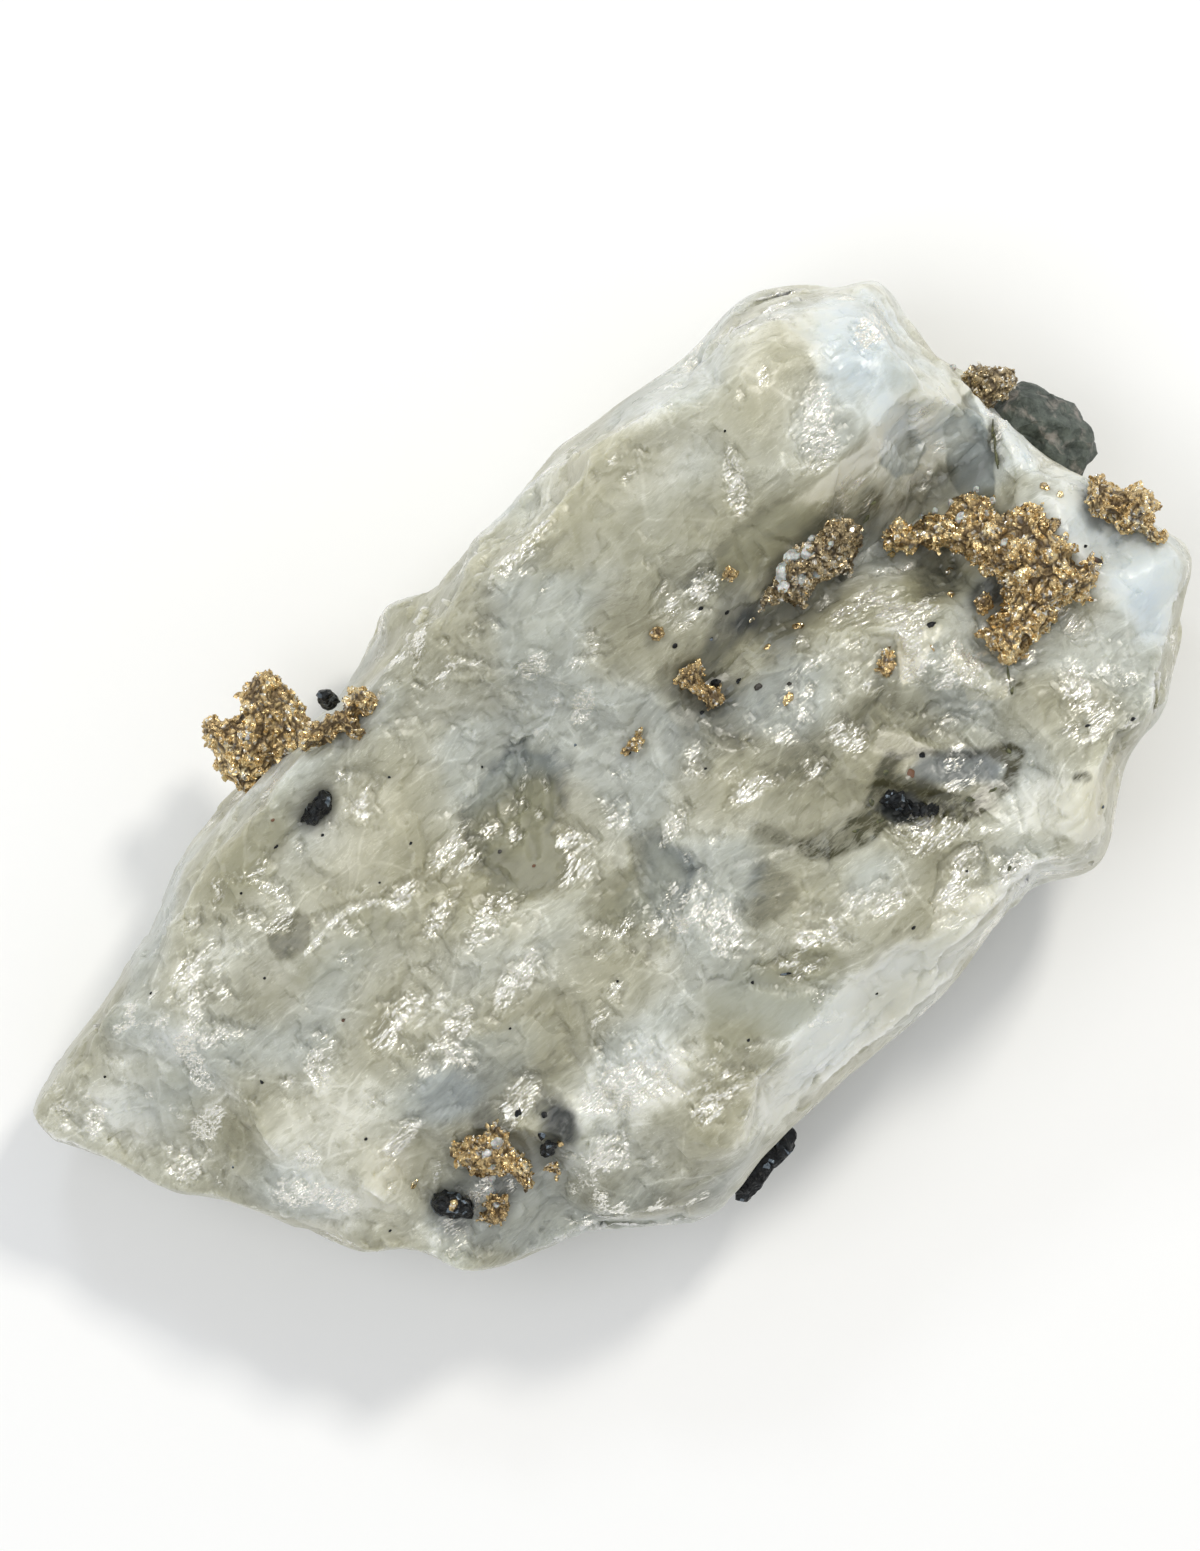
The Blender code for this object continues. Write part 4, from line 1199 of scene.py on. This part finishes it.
@dataclass
class Growth:
    """A growth that stands for one CAD node: rooted deeper, given a fine mesh and its habit's surface.

    The root is how far its hidden side reaches into the quartz in x, y and z, and the swelling is how much
    thicker it is made all over. Lumps and grit are sizes, with their heights. The node's copy is first scaled
    about its own middle and then shifted.
    """

    node: str
    habit: Habit
    size: float = 0.17
    root: Triple = (0.0, 0.0, -1.0)
    swelling: float = 0.0
    lump: float = 0.75
    lump_height: float = 0.42
    grit: float = 0.30
    grit_height: float = 0.14
    kept_faces: float = 0.16
    tarnished: bool = False
    scale: Triple = (1.0, 1.0, 1.0)
    shift: Triple = (0.0, 0.0, 0.0)

    def build(self, material: bpy.types.Material, slot: str) -> bpy.types.Object:
        """The finished growth.

        Args:
            material: its material.
            slot: the record's material slot.

        Returns:
            The growth, riding on the frame.
        """
        piece = node_copy(self.node, f"{self.node}_finished")
        points, normals = points_of(piece.data), normals_of(piece.data)
        middle = (points.max(axis=0) + points.min(axis=0)) / 2.0
        points = middle + (points - middle) * self.scale + self.shift
        root = np.array(self.root)
        facing_in = np.clip(normals @ (root / np.linalg.norm(root)) * 2.0, 0.0, 1.0)
        place_points(piece.data, points + normals * self.swelling + facing_in[:, None] * root)
        remesh(piece, self.size)
        self.break_surface(piece)
        if self.habit is not Habit.SPONGE:
            flatten = piece.modifiers.new("flatten", "DECIMATE")
            flatten.ratio = self.kept_faces
            apply_modifiers(piece)
        settle(piece, material, slot, self.node)
        return piece

    def break_surface(self, piece: bpy.types.Object) -> None:
        """Raises lumps and grit as its habit has them, and stores how deep points lie as the mask "pit"."""
        points, normals = points_of(piece.data), normals_of(piece.data)
        metric = "CHEBYCHEV" if self.habit is Habit.SPONGE else "DISTANCE"
        heights, pits = np.zeros(len(points)), np.zeros(len(points))
        for index, point in enumerate(points):
            place = Vector(point)
            place += 0.35 * self.lump * Vector(noise.noise_vector(place / self.lump))
            edge, fine_edge = (inside_cell(place / size, metric) for size in (self.lump, self.grit))
            heights[index] = self.lump_height * (edge - 0.7) + self.grit_height * (fine_edge - 0.6)
            pits[index] = max(0.0, 1.0 - 2.2 * edge) + 0.3 * max(0.0, 1.0 - 2.0 * fine_edge)
        place_points(piece.data, points + heights[:, None] * normals)
        store_mask(piece.data, "pit", np.clip(pits, 0.0, 1.0))


METAL_GROWTHS = (
    Growth("main_metal_mass", Habit.SPONGE, 0.18, lump=1.2, lump_height=0.65),
    Growth("hollow_metal_nugget", Habit.SPONGE, 0.12, lump=0.9, lump_height=0.2, grit_height=0.07),
    Growth("west_metal_lobe", Habit.SPONGE, 0.17, tarnished=True),
    Growth("rim_metal_tuft", Habit.SPONGE, 0.17, (0.0, 0.0, -1.6), lump=0.9),
    Growth("edge_metal_branch", Habit.SPONGE, 0.15, (0.0, -0.5, -1.4), lump_height=0.32),
    Growth("centre_metal_nugget", Habit.SPONGE, 0.14, lump_height=0.3),
    Growth("small_metal_nugget", Habit.SPONGE, 0.13, lump=0.6, lump_height=0.25),
    Growth("hanging_metal_nugget", Habit.SPONGE, 0.13, lump=0.6, lump_height=0.25),
    Growth("slab_metal_speck", Habit.SPONGE, 0.11, lump=0.5, lump_height=0.18),
    Growth("slab_metal_ring", Habit.SPONGE, 0.11, lump=0.5, lump_height=0.18),
    Growth("foot_metal_cluster", Habit.SPONGE, 0.15, scale=(1.2, 1.1, 1.0)),
    Growth("foot_lower_metal", Habit.SPONGE, 0.13, lump=0.6, lump_height=0.3, scale=(1.35, 1.5, 1.2)),
    Growth("foot_side_metal", Habit.SPONGE, 0.12, lump=0.5, lump_height=0.25),
    Growth("edge_metal_tuft", Habit.SPONGE, 0.18, (0.25, -1.9, 0.0), 0.15, lump=0.9),
    Growth(
        "wallrock_metal_patch", Habit.SPONGE, 0.15, (-1.6, -0.3, 0.0), 0.35, lump_height=0.3, tarnished=True
    ),
)

BLACK_GRAINS = (
    Growth("foot_black_grain", Habit.GRAIN, 0.12, swelling=0.1, lump=0.7, lump_height=0.22, grit_height=0.06),
    Growth(
        "foot_side_black_grain", Habit.GRAIN, 0.10, swelling=0.1, lump=0.5, lump_height=0.15, grit_height=0.05
    ),
    Growth("left_black_grain", Habit.GRAIN, 0.11, swelling=0.1, lump=0.55, lump_height=0.2, grit_height=0.06),
    Growth("edge_black_grain", Habit.GRAIN, 0.10, (0.0, -0.5, -1.4), 0.1, 0.9, 0.1, 0.3, 0.04),
    Growth(
        "groove_dark_mineral", Habit.GRAIN, 0.14, swelling=0.1, lump=0.6, lump_height=0.3, grit_height=0.1,
        scale=(0.62, 0.80, 1.0), shift=(-0.8, 0.5, 0.0),
    ),
    Growth("rim_black_sliver", Habit.GRAIN, 0.13, (0.0, 0.8, 0.3), 0.22, 1.3, 0.12, 0.3, 0.04),
)

WALLROCK = Growth(
    "dark_wallrock", Habit.ROCK, 0.22, (-2.1, -0.5, 0.0), 0.35, 2.2, 0.30, 0.7, 0.08,
    scale=(1.0, 1.0, 0.7), shift=(0.1, 0.0, -1.2),
)


@dataclass(frozen=True)
class Strewing:
    """How small crystals of one shape are strewn over a growth."""

    per_square_mm: float
    smallest: float
    largest: float
    standing: bool
    lowest_facing: float
    highest_facing: float
    seed: int


class CrystalCoat:
    """The small crystals and hooked wires over every metal growth: two shapes that Geometry Nodes copies."""

    grains = Strewing(16.0, 0.40, 1.25, False, -0.35, 1.0, 3)
    wires = Strewing(0.45, 0.50, 1.20, True, -0.60, 0.40, 8)
    grain_radius: float = 0.118
    wire_radius: float = 0.075
    deepest_pit: float = 0.30
    lean: float = 0.9

    def __init__(self) -> None:
        """Models the two shapes."""
        self.patterns = (self.model_grain(), self.model_wire())

    def model_grain(self) -> bpy.types.Object:
        """A stubby crystal: an octahedron with cut corners."""
        bpy.ops.object.select_all(action="DESELECT")
        bpy.ops.mesh.primitive_uv_sphere_add(segments=4, ring_count=2, radius=self.grain_radius * MM)
        crystal = bpy.context.object
        crystal.name = "metal_grain_pattern"
        bpy.ops.object.mode_set(mode="EDIT")
        bpy.ops.mesh.select_all(action="SELECT")
        bpy.ops.mesh.bevel(offset=0.3 * self.grain_radius * MM, segments=1, affect="VERTICES")
        bpy.ops.object.mode_set(mode="OBJECT")
        return crystal

    def model_wire(self) -> bpy.types.Object:
        """A short hooked wire that stands on the surface."""
        bpy.ops.object.select_all(action="DESELECT")
        height = 4.0 * self.wire_radius
        middle = (0.0, 0.0, 0.3 * height * MM)
        bpy.ops.mesh.primitive_cylinder_add(
            vertices=5, radius=self.wire_radius * MM, depth=height * MM, location=middle
        )
        wire = bpy.context.object
        wire.name = "metal_wire_pattern"
        bpy.ops.object.mode_set(mode="EDIT")
        bpy.ops.object.mode_set(mode="OBJECT")
        for face in wire.data.polygons:
            face.select = face.normal.z > 0.9
        bpy.ops.object.mode_set(mode="EDIT")
        bpy.ops.mesh.select_mode(type="FACE")
        for side, up, share in ((1.2, 2.6, 0.8), (2.4, 1.6, 0.7), (2.0, 0.2, 0.4)):
            move = (side * self.wire_radius * MM, 0.0, up * self.wire_radius * MM)
            bpy.ops.mesh.extrude_region_move(TRANSFORM_OT_translate={"value": move})
            bpy.ops.transform.resize(value=(share, share, 1.0))
        bpy.ops.object.mode_set(mode="OBJECT")
        return wire

    def cover(self, piece: bpy.types.Object) -> None:
        """Strews both shapes over a piece and makes them part of its mesh."""
        for strewing, pattern in zip((self.grains, self.wires), self.patterns):
            spread = piece.modifiers.new("crystals", "NODES")
            spread.node_group = self.tree(strewing, pattern)
        apply_modifiers(piece)
        place_points(piece.data, points_of(piece.data))

    def remove_patterns(self) -> None:
        """Takes the two shapes out of the scene."""
        for pattern in self.patterns:
            bpy.data.objects.remove(pattern)

    def tree(self, strewing: Strewing, pattern: bpy.types.Object) -> bpy.types.NodeTree:
        """The node group that strews a shape over a mesh.

        Args:
            strewing: how it is strewn.
            pattern: the shape.

        Returns:
            The node group, whose output is the mesh with the shapes on it.
        """
        tree = bpy.data.node_groups.new("strewn_crystals", "GeometryNodeTree")
        for way in ("INPUT", "OUTPUT"):
            tree.interface.new_socket("Geometry", in_out=way, socket_type="NodeSocketGeometry")
        graph = Graph(tree)
        source = graph.node("NodeGroupInput", {}, {})
        normal = graph.node("GeometryNodeInputNormal", {}, {})
        upness = graph.node("ShaderNodeSeparateXYZ", {}, {0: normal}, "Z")
        middle = 0.5 * (strewing.lowest_facing + strewing.highest_facing)
        half_band = 0.5 * (strewing.highest_facing - strewing.lowest_facing)
        facing = upness.maths("COMPARE", middle, half_band)
        pit = graph.node("GeometryNodeInputNamedAttribute", {}, {"Name": "pit"}, "Attribute")
        inputs = {"Mesh": source, "Selection": facing * pit.maths("LESS_THAN", self.deepest_pit)}
        inputs |= {"Density": strewing.per_square_mm / MM**2, "Seed": strewing.seed}
        points = graph.node("GeometryNodeDistributePointsOnFaces", {}, inputs, "Points")
        reach = self.lean if strewing.standing else math.tau
        turn = self.random_vector(graph, -reach, reach, 0)
        size = self.random_vector(graph, strewing.smallest, strewing.largest, strewing.seed + 1)
        inputs = {0: points.sibling("Rotation"), 1: turn}
        spin = graph.node("FunctionNodeRotateRotation", {"rotation_space": "LOCAL"}, inputs)
        shape = graph.node("GeometryNodeObjectInfo", {}, {"Object": pattern}, "Geometry")
        inputs = {"Points": points, "Instance": shape, "Rotation": spin, "Scale": size}
        copies = graph.node("GeometryNodeInstanceOnPoints", {}, inputs)
        real = graph.node("GeometryNodeRealizeInstances", {}, {0: copies})
        both = graph.node("GeometryNodeJoinGeometry", {}, {0: source})
        tree.links.new(real.output, both.output.node.inputs[0])
        graph.end("NodeGroupOutput", both)
        return tree

    def random_vector(self, graph: Graph, low: float, high: float, seed: int) -> Socket:
        """A random vector for each copy, with every part of it from low to high."""
        inputs = {"Min": (low,) * 3, "Max": (high,) * 3, "Seed": seed}
        return graph.node("FunctionNodeRandomValue", {"data_type": "FLOAT_VECTOR"}, inputs, "Value")


@dataclass(frozen=True)
class Grain:
    """One small mineral grain or blade that sits on the surface: place, half sizes and bearing."""

    x: float
    y: float
    half_length: float
    half_width: float
    half_height: float
    bearing: float = 0.0
    sunk: float = 0.5


def grains(*rows: tuple[float, ...]) -> tuple[Grain, ...]:
    """Grains, each given by its fields in their order, with the last ones left out where they are usual."""
    return tuple(Grain(*row) for row in rows)


@dataclass
class Inclusions:
    """Small grains of one mineral, let into whatever lies under them, as one piece."""

    name: str
    slot: str
    grains: tuple[Grain, ...]
    seed: int = 1
    unevenness: float = 0.24
    tip: float = 0.2
    start_height: float = 60.0

    def build(self, surfaces: list[BVHTree], material: bpy.types.Material) -> None:
        """Models one grain, copies it to every place and joins the copies.

        Args:
            surfaces: what the grains may lie on.
            material: their material.
        """
        uneven = random.Random(self.seed)
        pattern = self.model_grain()
        copies = []
        for grain in self.grains:
            top = self.height_at(surfaces, grain.x, grain.y)
            copy = pattern.copy()
            copy.data = pattern.data.copy()
            bpy.context.scene.collection.objects.link(copy)
            tips = [uneven.uniform(-self.tip, self.tip) for _ in range(2)]
            turn = Euler((*tips, math.radians(grain.bearing)))
            size = Matrix.Diagonal((grain.half_length, grain.half_width, grain.half_height, 1.0))
            flip = Matrix.Rotation(uneven.choice((0.0, math.pi)), 4, "X")
            flip = flip @ Matrix.Rotation(uneven.choice((0.0, math.pi)), 4, "Z")
            place = Matrix.Translation(Vector((grain.x, grain.y, top - grain.sunk * grain.half_height)) * MM)
            copy.data.transform(place @ turn.to_matrix().to_4x4() @ size @ flip)
            copies.append(copy)
        bpy.data.objects.remove(pattern)
        bpy.ops.object.select_all(action="DESELECT")
        for copy in copies:
            copy.select_set(True)
        bpy.context.view_layer.objects.active = copies[0]
        bpy.ops.object.join()
        piece = bpy.context.object
        piece.name = piece.data.name = self.name
        place_points(piece.data, points_of(piece.data))
        settle(piece, material, self.slot)

    def model_grain(self) -> bpy.types.Object:
        """An uneven, flat-faced grain of radius one millimetre."""
        bpy.ops.object.select_all(action="DESELECT")
        bpy.ops.mesh.primitive_ico_sphere_add(subdivisions=2, radius=MM)
        pattern = bpy.context.object
        bpy.ops.object.mode_set(mode="EDIT")
        bpy.ops.mesh.select_all(action="SELECT")
        bpy.ops.transform.vertex_random(offset=self.unevenness * MM, seed=self.seed)
        bpy.ops.object.mode_set(mode="OBJECT")
        return pattern

    def height_at(self, surfaces: list[BVHTree], x: float, y: float) -> float:
        """The highest surface under a place, in millimetres."""
        start = Vector((x, y, self.start_height)) * MM
        hits = [surface.ray_cast(start, Vector((0.0, 0.0, -1.0)))[0] for surface in surfaces]
        return max(hit.z for hit in hits if hit is not None) / MM


METAL_QUARTZ = Inclusions(
    "quartz_grains_in_metal",
    "quartz",
    grains(
        (18.3, 6.6, 0.75, 0.5, 0.35, 30), (19.3, 7, 0.6, 0.45, 0.35, -20), (18.9, 5.7, 0.5, 0.4, 0.3, 60),
        (20.2, 6.6, 0.55, 0.4, 0.3, 10), (20.9, 7.1, 0.4, 0.3, 0.28, 70), (17.7, 5.9, 0.45, 0.35, 0.28, 0),
        (21.6, 6.2, 0.32, 0.26, 0.22, 30), (19.8, 5.3, 0.35, 0.28, 0.25, -40),
        (29, 2.3, 0.42, 0.34, 0.3, 20), (30.3, 1.5, 0.36, 0.3, 0.26, -30), (30.9, 3, 0.34, 0.28, 0.26, 60),
        (28.2, 3.6, 0.3, 0.26, 0.22, 0), (31.2, 1.9, 0.26, 0.22, 0.2, 45), (27.3, 3.9, 0.3, 0.24, 0.22, 10),
        (30, -0.6, 0.38, 0.28, 0.26, 15), (29.2, 3.4, 0.28, 0.22, 0.2, 80),
        (-17.7, -9.7, 0.42, 0.36, 0.4, 20), (-18.6, -9.8, 0.34, 0.28, 0.32, -20),
        (-19.9, -11.9, 0.36, 0.3, 0.3, 0), (-19.3, -11.2, 0.38, 0.28, 0.3, 50),
        (-20.2, -12.6, 0.34, 0.26, 0.28, 80), (-18.9, -10.6, 0.28, 0.24, 0.26, 0),
        (-13.9, 19.6, 0.34, 0.24, 0.24, 20), (34.7, 9.9, 0.3, 0.24, 0.22, 0),
    ),
    seed=4,
    unevenness=0.38,
)  # fmt: skip
BLACK_SPECKS = Inclusions(
    "black_specks",
    "sulphide",
    grains(
        (10.7, -15.5, 0.16, 0.14, 0.1), (24.5, -17.1, 0.13, 0.1, 0.08), (15.5, -14.9, 0.12, 0.1, 0.08),
        (-8.6, 12.1, 0.13, 0.1, 0.08), (-10.2, 8.1, 0.15, 0.11, 0.08), (-13.2, 7.4, 0.12, 0.09, 0.08),
        (-22.5, 7.3, 0.12, 0.1, 0.08), (-26.7, 2.4, 0.12, 0.16, 0.08), (-23.9, -4.4, 0.16, 0.12, 0.08),
        (-3.8, 9, 0.13, 0.1, 0.08), (23.3, -1.7, 0.42, 0.24, 0.16, -20), (2.9, -12.8, 0.66, 0.12, 0.1, -26),
        (10.7, 3.9, 0.36, 0.3, 0.3, 0, -0.4), (17.8, -7.6, 0.26, 0.22, 0.14), (8.9, 3, 0.2, 0.16, 0.12),
        (11.9, 3.1, 0.22, 0.16, 0.12, 30), (10.2, 7.3, 0.24, 0.18, 0.14), (12.9, 8.1, 0.2, 0.16, 0.12),
        (14, 6.9, 0.18, 0.15, 0.12), (12.2, 6.2, 0.15, 0.12, 0.1), (-16.8, 13.2, 0.18, 0.12, 0.1),
        (-14.1, 11.9, 0.14, 0.12, 0.1), (0.8, -11.9, 0.16, 0.12, 0.08), (-1.6, -14.5, 0.14, 0.12, 0.08),
        (-15.6, -9.2, 0.4, 0.26, 0.16, 50), (-14.3, -10.2, 0.34, 0.22, 0.14, 80),
        (-15.2, -11, 0.42, 0.26, 0.16, 60), (-34.2, 8.8, 0.13, 0.1, 0.08), (-20.3, 12.3, 0.12, 0.1, 0.08),
        (-28.6, 11, 0.13, 0.1, 0.08), (-12.6, -4.7, 0.12, 0.09, 0.08), (-31.5, -0.6, 0.12, 0.09, 0.08),
        (-26.4, -9.8, 0.13, 0.1, 0.08), (1.6, 6.4, 0.12, 0.1, 0.08), (6.9, 0.2, 0.12, 0.09, 0.08),
        (3.9, 3.9, 0.14, 0.1, 0.08), (6.4, -17.3, 0.12, 0.1, 0.08), (20.9, 15.6, 0.11, 0.09, 0.08),
        (33.8, -3.9, 0.16, 0.12, 0.1), (29.3, -14, 0.24, 0.14, 0.1, -18),
        (26.9, -12.6, 0.22, 0.12, 0.1, -18), (-5.6, -6.6, 0.12, 0.1, 0.08),
    ),
    seed=9,
)  # fmt: skip
RUST_SPECKS = Inclusions(
    "rust_specks",
    "sulphide",
    grains(
        (-20.3, 2.2, 0.22, 0.13, 0.08), (33.8, -5, 0.5, 0.2, 0.12, -60), (-15.9, 14.6, 0.16, 0.12, 0.08),
        (14.2, 1, 0.2, 0.16, 0.12), (-6.2, 4.2, 0.18, 0.14, 0.08), (-5.1, 2.2, 0.16, 0.12, 0.08),
        (12.6, 2, 0.32, 0.28, 0.12), (16.5, -8, 0.36, 0.32, 0.12),
    ),
    seed=2,
)  # fmt: skip
METAL_FLECKS = Inclusions(
    "metal_flecks",
    "metal",
    grains(
        (-22.3, -11, 0.42, 0.3, 0.3, 30), (-23.5, -8.5, 0.55, 0.22, 0.22, 20), (14.6, 3.6, 0.28, 0.22, 0.2),
        (24.2, 3.2, 0.34, 0.26, 0.24, 10), (16.9, 3.4, 0.4, 0.3, 0.26, -30),
        (22.5, -2.8, 0.3, 0.2, 0.18, 80), (25.4, -1, 0.34, 0.28, 0.22), (26.4, 0.2, 0.3, 0.24, 0.22),
        (14.9, 5.6, 0.26, 0.2, 0.18), (34.2, 0.4, 0.45, 0.3, 0.35, 80), (34.6, -0.5, 0.34, 0.26, 0.28, 40),
        (-14.6, -12.2, 0.34, 0.26, 0.24), (13.6, 0.3, 0.46, 0.36, 0.2, 30),
        (-16.2, -13.7, 0.34, 0.18, 0.16, 50),
    ),
    seed=12,
)  # fmt: skip
OLIVE_BLADES = Inclusions(
    "olive_blades",
    "wallrock",
    grains(
        (33.5, 4.4, 1.5, 0.11, 0.12, 57), (34, 5.3, 0.7, 0.08, 0.1, 50), (33, 3.5, 0.34, 0.16, 0.12, 80),
        (25, -7.2, 0.75, 0.1, 0.1, 57), (24.7, -8, 0.3, 0.16, 0.12, 40), (11.8, -8.7, 0.36, 0.12, 0.1, -30),
        (13.2, -9.1, 0.34, 0.16, 0.12, -10), (19.8, -12, 0.4, 0.12, 0.1, -8),
        (22.2, -10.9, 0.16, 0.4, 0.12, 10), (17.6, -16.4, 0.26, 0.16, 0.12, 15),
        (24.4, 6, 0.34, 0.2, 0.14, 20), (25.3, 6.5, 0.26, 0.16, 0.12, -30),
        (13.6, -7.9, 0.28, 0.2, 0.14, 60), (15.4, -7, 0.26, 0.18, 0.14, 10),
        (18.4, -11.6, 0.3, 0.22, 0.14, -40),
    ),
    seed=6,
    unevenness=0.34,
)  # fmt: skip


class Specimen:
    """The whole specimen, built piece by piece."""

    def build(self) -> None:
        """Builds the block, every growth on it and the small minerals."""
        pieces = [QuartzBlock().build()]
        metal, tarnished = NativeMetal().make(), TARNISHED_METAL.make()
        coat = CrystalCoat()
        for growth in METAL_GROWTHS:
            finish = tarnished if growth.tarnished else metal
            piece = growth.build(finish, "metal")
            coat.cover(piece)
            dress(piece, finish)
            pieces.append(piece)
        coat.remove_patterns()
        black = BlackSulphide().make()
        pieces += [growth.build(black, "sulphide") for growth in BLACK_GRAINS]
        pieces.append(WALLROCK.build(Wallrock().make(), "wallrock"))
        graph = bpy.context.evaluated_depsgraph_get()
        surfaces = [BVHTree.FromObject(piece, graph) for piece in pieces]
        METAL_QUARTZ.build(surfaces, ClearGrain().make())
        BLACK_SPECKS.build(surfaces, black)
        RUST_SPECKS.build(surfaces, Speck().make())
        OLIVE_BLADES.build(surfaces, OliveMineral().make())
        METAL_FLECKS.build(surfaces, metal)


# ---------------------------------------------------------------- studio


@dataclass(frozen=True)
class Lamp:
    """A square soft light aimed at the specimen's middle.

    The azimuth runs from +X towards +Y and the elevation from the horizon, both in degrees. The distance and
    the size are in millimetres.
    """

    name: str
    azimuth: float
    elevation: float
    distance: float
    size: float
    watts: float
    colour: Colour


LAMPS = (
    Lamp("warm_key", 18.0, 52.0, 560.0, 82.0, 1.15, (1.0, 0.96, 0.87)),
    Lamp("soft_top", 150.0, 68.0, 700.0, 420.0, 1.2, (1.0, 1.0, 1.0)),
    Lamp("cool_side", 70.0, 46.0, 620.0, 90.0, 0.30, (0.82, 0.91, 1.0)),
)


@dataclass
class Studio:
    """The pale sheet, the lights and the camera, which is turned so that the block climbs to the right."""

    roll: float = -39.0
    centre: Place = (1.578, 3.974)
    seen_length: float = 96.94
    distance: float = 1000.0
    reference_height: float = 10.0
    sensor: float = 36.0
    sheet_half: float = 3000.0
    sheet_drop: float = 0.02
    sky: Colour = (0.97, 0.985, 1.0)
    sky_strength: float = 0.58

    def build(self) -> None:
        """Sets up everything round the specimen."""
        self.lay_sheet()
        for lamp in LAMPS:
            self.add_light(lamp)
        self.light_world()
        self.place_camera()

    def lay_sheet(self) -> None:
        """The sheet under the specimen."""
        bpy.ops.object.select_all(action="DESELECT")
        place = (0.0, 0.0, -self.sheet_drop * MM)
        bpy.ops.mesh.primitive_plane_add(size=2.0 * self.sheet_half * MM, location=place)
        sheet = bpy.context.object
        sheet.name = "studio_sheet"
        sheet.data.materials.append(StudioPaper().make())
        sheet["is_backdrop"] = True

    def add_light(self, lamp: Lamp) -> None:
        """Hangs up one square soft light."""
        data = bpy.data.lights.new(lamp.name, "AREA")
        data.energy = lamp.watts
        data.size = lamp.size * MM
        data.color = lamp.colour
        light = bpy.data.objects.new(lamp.name, data)
        turn, lift = math.radians(lamp.azimuth), math.radians(lamp.elevation)
        away = Vector((math.cos(turn) * math.cos(lift), math.sin(turn) * math.cos(lift), math.sin(lift)))
        light.location = away * lamp.distance * MM
        light.rotation_euler = away.to_track_quat("Z", "Y").to_euler()
        bpy.context.scene.collection.objects.link(light)

    def light_world(self) -> None:
        """Plain pale light from all round."""
        world = bpy.data.worlds.new("studio_world")
        world.use_nodes = True
        background = world.node_tree.nodes["Background"]
        background.inputs["Color"].default_value = (*self.sky, 1.0)
        background.inputs["Strength"].default_value = self.sky_strength
        bpy.context.scene.world = world

    def place_camera(self) -> None:
        """The camera, which looks straight down."""
        view = bpy.data.cameras.new("view")
        view.sensor_width = self.sensor
        view.lens = self.sensor * self.distance / self.seen_length
        view.clip_start = 0.05
        view.clip_end = 10.0
        camera = bpy.data.objects.new("view", view)
        camera.location = Vector((*self.centre, self.distance + self.reference_height)) * MM
        camera.rotation_euler = (0.0, 0.0, math.radians(self.roll))
        bpy.context.scene.collection.objects.link(camera)
        bpy.context.scene.camera = camera
        bpy.context.scene.view_settings.view_transform = "Standard"


def main() -> None:
    """Builds the specimen and its studio."""
    logging.basicConfig(level=logging.INFO, format="%(message)s")
    noise.seed_set(NOISE_SEED)
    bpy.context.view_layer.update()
    Specimen().build()
    Studio().build()


if __name__ == "__main__":
    main()
